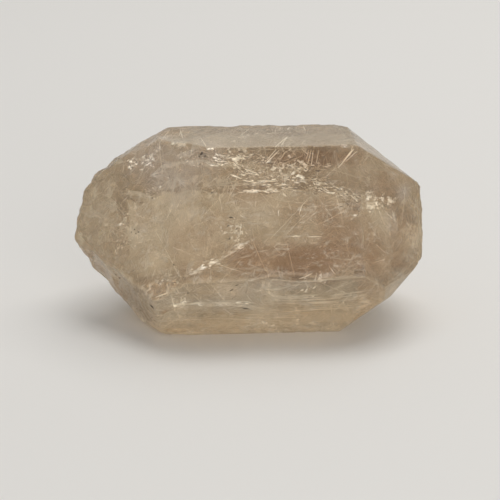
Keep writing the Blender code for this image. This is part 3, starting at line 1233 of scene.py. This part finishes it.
def fan(chance, foot, along, normal, spread, length_mm, radius_mm, count):
    """Hairs that start near a foot and spread about a direction in the face."""
    side = chance.choice((-1.0, 1.0))
    hairs_made = []
    for _ in range(count):
        turned = Matrix.Rotation(chance.gauss(0.0, math.radians(spread) * 0.6), 3, normal) @ along
        aside = normal.cross(turned).normalized() * side
        own_length = length_mm * chance.uniform(0.35, 1.0)
        middle = foot + (turned * (own_length * chance.uniform(0.45, 0.8))) * MM
        middle += random_direction(chance) * (0.3 * MM)
        line = arc(middle, turned, aside, own_length, radius_mm * chance.uniform(0.7, 1.5))
        if min(depth_inside(point) for point in line) > LEAST_COVER_MM:
            hairs_made.append((line, chance.uniform(*FAN_THICKNESS_MM)))
    return hairs_made


# %% Spread the fans
chance = random.Random(FAN_SEED)
fan_lines = []
for pixel, slant, spread, length_mm, radius_mm, count in SEEN_FANS:
    foot = inside_at(pixel, SEEN_FAN_DEPTH_MM)
    beside = inside_at(pixel_beside(pixel, slant, 2.0), SEEN_FAN_DEPTH_MM)
    _, normal, _ = surface_at(pixel)
    along = (beside - foot).normalized()
    fan_lines += fan(chance, foot, along, normal, spread, length_mm, radius_mm, count)
seen_hairs = len(fan_lines)
for _ in range(FANS):
    foot, normal = point_under_surface(chance, LEAST_FAN_DEPTH_MM + chance.expovariate(1.0))
    if not grows_at(chance, foot):
        continue
    along = normal.cross(random_direction(chance)).normalized()
    length_mm = chance.uniform(*FAN_LENGTH_MM)
    count = chance.randint(*FAN_HAIRS)
    spread = chance.uniform(*FAN_SPREAD)
    fan_lines += fan(chance, foot, along, normal, spread, length_mm, FAN_BEND_MM, count)

fans = fibres_from("rutile_fans", fan_lines, fibre_nodes, hair_gold, 3, 0.3)
print("hairs in the fans that the picture shows:", seen_hairs)

# %% [markdown]
# ## Growth lines
# The crystal grew in thin layers, and where growth paused it left faint lines: long level streaks
# in the lower front face, the outline of a lens on its ledge, ripples and a scar near the worn
# end. A drawn line would look like a wire. So a line is a few strands, each of which covers only a
# part of the way and lies a little to the side of it.

# %% Where the growth lines run
GROWTH_SEED = 17
GROWTH_DEPTH_MM = 0.55
GROWTH_COVER_MM = LEAST_COVER_MM * 0.6
GROWTH_THICKNESS_MM = (0.05, 0.12)
STRAND_SHARE = (0.25, 0.7)
STEPS_PER_SPAN = 5

# A growth line is the pixels that it passes, how many strands it has and how far they stray.
GROWTH_LINES = (
    (((152, 309), (171, 306), (190, 304), (206, 302.5)), 14, 0.8),
    (((206, 302.5), (222, 303), (235, 303), (248, 304), (262, 307)), 18, 0.9),
    (((228, 308), (241, 306.5), (253, 308.5), (278, 308)), 12, 0.7),
    (((256, 281), (270, 279.5), (286, 281), (300, 282.5)), 10, 0.5),
    (((258, 286), (271, 289.5), (288, 286.5), (302, 283)), 10, 0.6),
    (((294, 281.5), (321, 280.5), (354, 278)), 10, 0.5),
    (((260, 295), (298, 296.5), (335, 293)), 12, 1.4),
    (((265, 299), (311, 298.5), (345, 295.5), (368, 291)), 14, 1.6),
    (((278, 302), (315, 303), (358, 300)), 12, 1.6),
    (((250, 313), (308, 309), (345, 307), (374, 303)), 14, 1.8),
    (((170, 319), (215, 317), (270, 319), (330, 317)), 5, 2.4),
    (((190, 326), (240, 325), (300, 326), (350, 323)), 3, 2.0),
    (((92, 181.5), (99, 177.5), (107, 174), (118, 168.5)), 12, 1.0),
    (((118, 193), (135, 192), (155, 199.5)), 12, 1.4),
    (((130, 191.5), (143, 196), (153, 199)), 10, 0.9),
    (((120, 231), (126, 234.5), (131, 241)), 6, 0.8),
    (((84.7, 193), (88, 201), (87.2, 207)), 4, 0.6),
    (((96, 200), (106, 196), (116, 203), (124, 213)), 8, 1.6),
    (((80, 215), (84, 232), (92, 248)), 6, 1.4),
    (((393, 209), (395, 222), (394.5, 236)), 12, 2.6),
    (((363, 205), (363, 230), (364, 256)), 6, 0.7),
    (((384, 284), (398, 276), (412, 264)), 8, 0.8),
)
SCAR_LINES = (
    (((106, 173.5), (121, 174.5), (128, 180), (130.5, 187)), 4, 0.4),
    (((228, 309.5), (241, 308), (253, 310), (262, 309.5)), 3, 0.3),
    (((233, 288), (236, 295), (231, 301)), 2, 0.3),
    (((246, 280), (247, 290), (243, 299)), 2, 0.3),
)


# %% Strands along a line


def smooth_line(corners):
    """Points of a smooth line through corners in space."""
    padded = [corners[0] * 2.0 - corners[1]] + corners + [corners[-1] * 2.0 - corners[-2]]
    points = []
    for span in range(len(corners) - 1):
        before, start, end, after = padded[span:span + 4]
        for step in range(STEPS_PER_SPAN):
            t = step / STEPS_PER_SPAN
            slope_in = (end - before) * (0.5 * (t - 2.0 * t * t + t * t * t))
            slope_out = (after - start) * (0.5 * (t * t * t - t * t))
            points.append(start.lerp(end, t * t * (3.0 - 2.0 * t)) + slope_in + slope_out)
    return points + [corners[-1]]


def strands(chance, corners_px, count, stray_px):
    """Broken strands that follow a line in the picture."""
    made = []
    for _ in range(count):
        shift = (chance.gauss(0.0, stray_px * 0.5), chance.gauss(0.0, stray_px))
        depth = GROWTH_DEPTH_MM + chance.expovariate(4.0)
        pixels = [(u + shift[0], v + shift[1]) for u, v in corners_px]
        if not all(meets_crystal(pixel) for pixel in pixels):
            continue
        line = smooth_line([inside_at(pixel, depth) for pixel in pixels])
        kept = max(4, int(len(line) * chance.uniform(*STRAND_SHARE)))
        first = chance.randint(0, len(line) - kept) if kept < len(line) else 0
        strand = line[first:first + kept]
        if min(depth_inside(point) for point in strand) > GROWTH_COVER_MM:
            made.append((strand, chance.uniform(*GROWTH_THICKNESS_MM)))
    return made


# %% Draw the growth lines
chance = random.Random(GROWTH_SEED)
growth = []
for corners_px, count, stray_px in GROWTH_LINES:
    growth += strands(chance, corners_px, count, stray_px)
scars = []
for corners_px, count, stray_px in SCAR_LINES:
    scars += strands(chance, corners_px, count, stray_px)
growth_lines = fibres_from("growth_lines", growth, fibre_nodes, faint, 3, 0.25)
scar_lines = fibres_from("scar_lines", scars, fibre_nodes, dark, 3, 0.25)

# %% [markdown]
# ## Healed cracks: one tree for every flake
# Where a crack healed while the crystal grew, it left a sheet of tiny cavities that shine like
# scales of silver. A scale is a thin ragged lens. Geometry Nodes put one on each point of a cloud
# of points, turned and stretched as the point's own attributes say, and noise makes each ragged.

# %% The flake tree


def point_vector(tree, label):
    """A vector that the mesh keeps on its points."""
    kind = "GeometryNodeInputNamedAttribute"
    return add_node(tree, kind, {"Name": label}, data_type="FLOAT_VECTOR").outputs["Attribute"]


def flake_tree():
    """A Geometry Nodes tree that puts a thin ragged scale on each point."""
    inputs = {
        "Points": "NodeSocketGeometry",
        "Raggedness": "NodeSocketFloat",
        "Ragged Scale": "NodeSocketFloat",
        "Material": "NodeSocketMaterial",
    }
    outputs = {"Flakes": "NodeSocketGeometry"}
    tree, given = new_group("flakes on points", "GeometryNodeTree", inputs, outputs)
    tree.is_modifier = True
    ball = add_node(tree, "GeometryNodeMeshIcoSphere", {"Radius": 0.5, "Subdivisions": 1})
    turn = add_node(
        tree,
        "FunctionNodeAxesToRotation",
        {
            "Primary Axis": point_vector(tree, "facing"),
            "Secondary Axis": point_vector(tree, "along"),
        },
        primary_axis="Z",
        secondary_axis="X",
    )
    placed = {
        "Points": given["Points"],
        "Instance": ball.outputs["Mesh"],
        "Rotation": turn.outputs["Rotation"],
        "Scale": point_vector(tree, "size"),
    }
    spread = add_node(tree, "GeometryNodeInstanceOnPoints", placed)
    real = add_node(tree, "GeometryNodeRealizeInstances", {"Geometry": spread.outputs["Instances"]})

    # Noise pushes each corner of a scale its own way.
    wobble = add_node(
        tree, "ShaderNodeTexNoise", {"Scale": given["Ragged Scale"], "Detail": 1.0}
    )
    centred = vector_node(tree, "SUBTRACT", {0: wobble.outputs["Color"], 1: (0.5, 0.5, 0.5)})
    shift = vector_node(tree, "SCALE", {0: centred.outputs["Vector"], "Scale": given["Raggedness"]})
    pushed = {"Geometry": real.outputs["Geometry"], "Offset": shift.outputs["Vector"]}
    ragged = add_node(tree, "GeometryNodeSetPosition", pushed)
    dressed = {"Geometry": ragged.outputs["Geometry"], "Material": given["Material"]}
    finish = add_node(tree, "GeometryNodeSetMaterial", dressed)
    add_node(tree, "NodeGroupOutput", {"Flakes": finish.outputs["Geometry"]})
    return tree


# %% Turn points into flakes


def flakes_from(name, flakes, tree, material, raggedness_mm):
    """One mesh of scales, each given by its place, facing, long direction and sizes in mm."""
    mesh = bpy.data.meshes.new(name)
    mesh.from_pydata([tuple(flake[0]) for flake in flakes], [], [])
    for label, column, unit in (("facing", 1, 1.0), ("along", 2, 1.0), ("size", 3, MM)):
        attribute = mesh.attributes.new(label, "FLOAT_VECTOR", "POINT")
        values = [number * unit for flake in flakes for number in flake[column]]
        attribute.data.foreach_set("vector", values)
    made = new_object(name, mesh)
    modifier = made.modifiers.new("flakes", "NODES")
    modifier.node_group = tree
    set_inputs(modifier, {
        "Raggedness": raggedness_mm * MM,
        "Ragged Scale": 1400.0,
        "Material": material,
    })
    apply_modifiers(made)
    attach(made, "root")
    print(name, ":", len(flakes), "flakes,", triangle_count(made), "triangles")
    return made


flake_nodes = flake_tree()

# %% [markdown]
# ## The cracks that the picture shows
# The silver gathers in patches: rows of level scales under the top edge, a feather that climbs
# from the lower left, a white tuft near the point. A patch is drawn as a slanted box in the
# picture. Scales fall in it by chance, denser towards its middle line. A scale shines only where
# it throws the light back to the eye, so each faces about half way between the two. The light
# comes down through the top face, which bends it, and that bend is reckoned with too.

# %% Where the silver patches lie
KEY_PLACE = Vector((0.38, 0.38, 1.45))
PATCH_SEED = 9
PATCH_SCALE_THICKNESS_MM = 0.06
GLINT_SCATTER = 0.45

# A patch is the pixel of its middle, its half length and half width in pixels, its slant in
# degrees, how many scales it has, their length range in mm, how slender they are, and the depth
# range in mm.
SILVER_PATCHES = (
    ((256, 158), 30, 5, -8, 60, (0.4, 1.6), 4.0, (0.6, 2.4)),
    ((246, 170), 14, 5, -22, 36, (0.5, 2.0), 5.0, (0.6, 2.0)),
    ((292, 168), 40, 5, 0, 75, (0.4, 1.8), 4.5, (0.6, 2.6)),
    ((288, 178), 50, 4, -4, 84, (0.4, 1.7), 4.5, (0.5, 1.6)),
    ((288, 187), 44, 4, -4, 84, (0.4, 1.7), 4.5, (0.5, 1.4)),
    ((262, 191), 22, 2, 3, 44, (0.6, 2.8), 6.0, (0.5, 1.0)),
    ((330, 188), 26, 6, -14, 60, (0.4, 1.6), 4.0, (0.5, 2.0)),
    ((298, 168), 9, 7, 20, 60, (0.5, 1.6), 2.0, (0.5, 1.6)),
    ((378, 199), 14, 5, -12, 60, (0.4, 1.4), 2.0, (0.5, 1.2)),
    ((371, 204), 6, 6, 40, 45, (0.4, 1.4), 2.0, (0.5, 1.2)),
    ((392, 201), 4, 3, 0, 18, (0.4, 1.2), 1.6, (0.5, 1.0)),
    ((215, 260), 36, 3, 29, 75, (0.4, 1.6), 4.0, (0.5, 1.8)),
    ((206, 266), 14, 4, 26, 50, (0.5, 1.8), 3.0, (0.5, 1.4)),
    ((190, 274), 6, 1.2, 24, 12, (0.6, 1.8), 4.0, (0.5, 0.9)),
    ((237, 248), 8, 1.2, 31, 22, (0.6, 1.8), 4.0, (0.5, 1.0)),
    ((233, 230), 9, 12, 60, 70, (0.3, 1.2), 2.2, (0.8, 2.4)),
    ((140, 162), 13, 8, 25, 60, (0.3, 1.2), 2.0, (0.6, 1.6)),
    ((179, 144), 7, 2.5, -10, 24, (0.3, 1.0), 2.0, (0.6, 1.2)),
    ((210, 149), 4, 1.2, -5, 10, (0.3, 0.9), 2.0, (0.6, 1.0)),
    ((135, 238), 12, 12, 20, 40, (0.2, 0.8), 2.0, (0.6, 2.0)),
    ((176, 306), 5, 1.5, 0, 14, (0.4, 1.0), 2.5, (0.6, 1.0)),
    ((220, 305), 25, 1.5, -1, 40, (0.4, 1.3), 4.0, (0.6, 1.2)),
    ((172, 275), 10, 8, 30, 26, (0.3, 0.9), 2.5, (0.7, 2.0)),
    ((348, 196), 12, 4, -18, 34, (0.4, 1.4), 3.5, (0.5, 1.4)),
    ((226, 161), 13, 7, -10, 60, (0.4, 1.7), 3.5, (0.6, 2.0)),
    ((190, 158), 14, 9, -12, 40, (0.3, 0.9), 2.2, (0.6, 2.0)),
    ((226, 256), 24, 1.0, 31, 34, (0.6, 2.2), 6.0, (0.5, 0.9)),
)


# %% Place the silver patches


def sight_frame(pixel, depth_mm, slant):
    """At a depth behind a pixel: the place, the way back to the eye and the slanted direction."""
    place = inside_at(pixel, depth_mm)
    beside = inside_at(pixel_beside(pixel, slant, 1.5), depth_mm)
    _, _, inwards = surface_at(pixel)
    return place, -inwards, (beside - place).normalized()


def glint_direction(back):
    """The facing that throws the key light, bent by the top face, back along the sight."""
    upwards = Vector((0.0, 0.0, 1.0))
    to_light = -bent_inwards(-KEY_PLACE.normalized(), upwards)
    return (to_light + back).normalized()


def silver_patch(chance, patch):
    """The scales of one patch."""
    (middle_u, middle_v), half_length, half_width, slant, count, length_mm, slender, depth_mm = patch
    turn = math.radians(slant)
    flakes = []
    while len(flakes) < count:
        along = chance.uniform(-1.0, 1.0) * half_length
        across = chance.gauss(0.0, 0.5) * half_width
        pixel = (
            middle_u + along * math.cos(turn) + across * math.sin(turn),
            middle_v - along * math.sin(turn) + across * math.cos(turn),
        )
        own_slant = slant + chance.gauss(0.0, 9.0 + 40.0 / slender)
        place, back, direction = sight_frame(pixel, chance.uniform(*depth_mm), own_slant)
        stray = random_direction(chance) * GLINT_SCATTER
        facing = (glint_direction(back) + stray).normalized()
        length = chance.uniform(*length_mm) * chance.uniform(0.5, 1.0)
        if depth_inside(place) > LEAST_COVER_MM:
            size = (length, length / slender, PATCH_SCALE_THICKNESS_MM)
            flakes.append((place, facing, direction, size))
    return flakes


chance = random.Random(PATCH_SEED)
silver_flakes = []
for patch in SILVER_PATCHES:
    silver_flakes += silver_patch(chance, patch)

print("scales in patches:", len(silver_flakes))

# %% Place the brightest scales
BRIGHT_SCALE_DEPTH_MM = 0.7
BRIGHT_SCALE_THICKNESS_MM = 0.08

# A bright scale is its pixel, its slant in degrees, its length and its width in mm.
BRIGHT_SCALES = (
    ((170.0, 212.0), 75, 0.9, 0.35),
    ((178.0, 143.0), -5, 1.3, 0.45),
    ((182.5, 144.5), 10, 0.8, 0.40),
    ((212.0, 147.5), -8, 1.1, 0.35),
    ((214.0, 165.5), -5, 2.6, 0.45),
    ((237.0, 158.5), 4, 3.2, 0.70),
    ((236.0, 176.5), -22, 3.6, 0.50),
    ((246.0, 190.8), 6, 2.0, 0.55),
    ((255.0, 190.5), 3, 1.4, 0.50),
    ((273.5, 168.5), 30, 1.5, 1.00),
    ((301.0, 176.5), -25, 2.4, 0.90),
    ((297.0, 182.5), -10, 1.8, 0.50),
    ((283.0, 184.5), 0, 2.2, 0.45),
    ((284.5, 195.0), -40, 1.3, 0.50),
    ((310.0, 198.0), 10, 1.2, 0.40),
    ((322.0, 183.5), -8, 2.4, 0.60),
    ((332.0, 193.0), 5, 1.8, 0.55),
    ((341.0, 208.0), 4, 1.6, 0.45),
    ((368.5, 197.0), 60, 1.5, 0.70),
    ((371.0, 206.5), -30, 1.6, 0.80),
    ((391.0, 201.5), 20, 1.2, 1.00),
    ((383.5, 194.5), 40, 1.1, 0.50),
    ((141.0, 169.5), 20, 1.2, 0.50),
    ((150.0, 163.0), 25, 1.0, 0.60),
    ((133.0, 158.5), 30, 1.2, 0.40),
    ((135.0, 246.0), 40, 0.8, 0.45),
    ((200.0, 269.0), 24, 3.4, 0.80),
    ((212.0, 263.0), 22, 2.6, 0.90),
    ((237.5, 244.5), 24, 2.8, 0.45),
    ((225.0, 256.5), 30, 3.0, 0.45),
    ((246.0, 242.0), 30, 3.2, 0.35),
    ((233.0, 222.0), -10, 1.7, 0.40),
    ((238.5, 226.5), -20, 1.8, 0.45),
    ((231.0, 230.0), 10, 1.3, 0.40),
    ((240.5, 232.5), 30, 1.5, 0.35),
    ((296.0, 236.0), 12, 1.4, 0.35),
    ((308.0, 222.0), -15, 0.9, 0.30),
    ((175.5, 305.5), 10, 1.3, 0.60),
    ((238.5, 302.5), 0, 1.8, 0.50),
    ((247.0, 303.5), 0, 1.2, 0.45),
)
for pixel, slant, length, width in BRIGHT_SCALES:
    place, back, direction = sight_frame(pixel, BRIGHT_SCALE_DEPTH_MM, slant)
    facing = (glint_direction(back) + back).normalized()
    size = (length, width, BRIGHT_SCALE_THICKNESS_MM)
    silver_flakes.append((place, facing, direction, size))
print("bright scales:", len(BRIGHT_SCALES))

# %% [markdown]
# ## Healed cracks on every side
# The sides that the picture doesn't show have cracks too. Each is a small curved sheet at a place
# and angle drawn by chance, strewn with scales that lie in the sheet.

# %% Strew cracks through the crystal
CRACKS = 60
SCALES_PER_CRACK = (10, 34)
CRACK_REACH_MM = (1.5, 6.5)
CRACK_SLIMNESS = (0.25, 0.8)
CRACK_TILT = 1.2
CRACK_BOW = 0.04
LEAST_CRACK_DEPTH_MM = 1.6
MEAN_DEPTH_BEYOND_MM = 3.5
SCALE_LENGTH_MM = (0.25, 1.0)
SCALE_SLENDERNESS = (1.5, 4.0)
SCALE_THICKNESS_MM = 0.05
SCALE_TILT = 0.25
SCALE_TURN = 0.35

for _ in range(CRACKS):
    depth_mm = LEAST_CRACK_DEPTH_MM + chance.expovariate(1.0 / MEAN_DEPTH_BEYOND_MM)
    middle, normal = point_under_surface(chance, depth_mm)
    tilt = (normal + random_direction(chance) * CRACK_TILT).normalized()
    first = tilt.orthogonal().normalized()
    second = tilt.cross(first)
    reach = chance.uniform(*CRACK_REACH_MM)
    slim = chance.uniform(*CRACK_SLIMNESS)
    for _ in range(chance.randint(*SCALES_PER_CRACK)):
        along = chance.gauss(0.0, 0.5) * reach
        across = chance.gauss(0.0, 0.5) * reach * slim
        bow = CRACK_BOW * (along * along + across * across)
        place = middle + (first * along + second * across - tilt * bow) * MM
        length = chance.uniform(*SCALE_LENGTH_MM)
        width = length / chance.uniform(*SCALE_SLENDERNESS)
        facing = (tilt + random_direction(chance) * SCALE_TILT).normalized()
        direction = (first + random_direction(chance) * SCALE_TURN).normalized()
        if depth_inside(place) > LEAST_COVER_MM:
            silver_flakes.append((place, facing, direction, (length, width, SCALE_THICKNESS_MM)))

# What comes too near the finished surface is left out, as with the fibres.
silver_flakes = [flake for flake in silver_flakes if covered(flake[:1])]
flakes = flakes_from("healed_crack_scales", silver_flakes, flake_nodes, silver, 0.12)

# %% [markdown]
# ## Dark grains
# A few grains of a black mineral are set in the quartz: one long sliver low on the left, and
# specks in loose groups. They lie level with the surface, because under even a millimetre of
# milky quartz they would look grey. They use the same tree, with thicker and blunter grains.

# %% Place the dark grains

# A grain is its pixel, its slant in degrees, its length and its width in mm.
DARK_GRAINS = (
    ((152.2, 306.8), -45, 1.5, 0.50),
    ((201.3, 153.8), 30, 0.8, 0.60),
    ((205.5, 156.0), 10, 0.5, 0.3),
    ((199.5, 156.5), 70, 0.4, 0.3),
    ((152.2, 198.0), 0, 0.4, 0.35),
    ((138.5, 232.0), 20, 0.4, 0.3),
    ((134.5, 229.5), 20, 0.35, 0.3),
    ((131.5, 232.0), 60, 0.35, 0.25),
    ((136.0, 233.5), 60, 0.3, 0.25),
    ((119.7, 278.0), -30, 0.45, 0.35),
    ((116.0, 274.5), -30, 0.35, 0.2),
    ((118.0, 283.5), 80, 0.45, 0.2),
    ((173.8, 264.7), 10, 0.4, 0.32),
    ((174.8, 282.5), 0, 0.9, 0.22),
    ((188.0, 293.0), 5, 0.35, 0.25),
    ((141.0, 310.0), 20, 0.4, 0.25),
    ((212.0, 192.5), 30, 0.35, 0.25),
    ((231.0, 217.5), -5, 0.9, 0.20),
    ((236.5, 229.0), 25, 0.5, 0.20),
    ((229.5, 238.5), 60, 0.5, 0.20),
    ((228.0, 226.0), 40, 0.5, 0.20),
    ((231.5, 290.0), 25, 0.9, 0.16),
    ((237.0, 285.0), 15, 0.8, 0.16),
    ((246.0, 308.5), 0, 1.1, 0.18),
    ((341.0, 206.8), 4, 0.8, 0.16),
    ((270.0, 163.0), -8, 1.2, 0.20),
    ((241.0, 152.0), -6, 1.4, 0.20),
    ((318.0, 171.0), 0, 1.1, 0.25),
    ((296.0, 188.5), -6, 1.1, 0.16),
    ((262.0, 186.5), 2, 1.2, 0.16),
)

# The grains are a third larger than they look, because a pixel that is only half covered is
# only half as dark.
GRAIN_GROWTH = 1.33
GRAIN_THICKNESS_MM = 0.3

dark_flakes = []
for pixel, slant, length, width in DARK_GRAINS:
    _, _, direction = sight_frame(pixel, 0.0, slant)
    place, outwards = finished_at(pixel)
    size = (length * GRAIN_GROWTH, width * GRAIN_GROWTH, GRAIN_THICKNESS_MM)
    dark_flakes.append((place, outwards, direction, size))
grains = flakes_from("dark_grains", dark_flakes, flake_nodes, dark, 0.08)

# %% [markdown]
# ## The floor
# The crystal lies on a plain pale sheet. The sheet is only a stage and no part of the crystal.

# %% Floor
FLOOR_SIZE = 4.0
FLOOR_COLOUR = (0.82, 0.81, 0.79, 1.0)

floor_mesh = bpy.data.meshes.new("floor")
floor_shape = bmesh.new()
bmesh.ops.create_grid(floor_shape, x_segments=1, y_segments=1, size=FLOOR_SIZE / 2)
floor_shape.to_mesh(floor_mesh)
floor_shape.free()
floor = new_object("floor", floor_mesh)
floor_material, _, floor_surface = new_material("pale_sheet")
floor_surface.inputs["Base Color"].default_value = FLOOR_COLOUR
floor_surface.inputs["Roughness"].default_value = 0.7
floor_mesh.materials.append(floor_material)
print("floor:", FLOOR_SIZE, "m wide")

# %% [markdown]
# ## The light
# Most of the light comes from one large light high on the right and a little behind, so a soft
# shadow lies under the overhanging worn end and in front. The rest comes evenly from all round and
# from a weak light in front. A very faint light behind goes through the quartz and warms its
# lowest band. The view transform is plain, so that colours come out as the materials give them.

# %% Light
WORLD_STRENGTH = 0.34
CRYSTAL_MIDDLE = Vector((0.0, 0.0, 0.02))

# A light is its name, its place, its power, its size and its colour.
LIGHTS = (
    ("key_light", KEY_PLACE, 14.0, 1.30, (1.0, 0.97, 0.93)),
    ("front_fill", Vector((0.35, -1.20, 0.40)), 4.5, 0.80, (1.0, 0.98, 0.95)),
    ("back_light", Vector((0.0, 1.15, 0.85)), 0.5, 1.00, (1.0, 0.97, 0.93)),
)

world = bpy.data.worlds.new("studio")
world.use_nodes = True
backdrop = world.node_tree.nodes["Background"]
backdrop.inputs["Color"].default_value = (0.99, 1.0, 1.0, 1.0)
backdrop.inputs["Strength"].default_value = WORLD_STRENGTH
bpy.context.scene.world = world

for name, light_place, power, size, colour in LIGHTS:
    lamp = bpy.data.objects.new(name, bpy.data.lights.new(name, "AREA"))
    lamp.data.energy = power
    lamp.data.color = colour
    lamp.data.size = size
    lamp.location = light_place
    lamp.rotation_euler = (CRYSTAL_MIDDLE - light_place).to_track_quat("-Z", "Y").to_euler()
    bpy.context.scene.collection.objects.link(lamp)
bpy.context.scene.view_settings.view_transform = "Standard"
print("lights:", [name for name, *_ in LIGHTS])
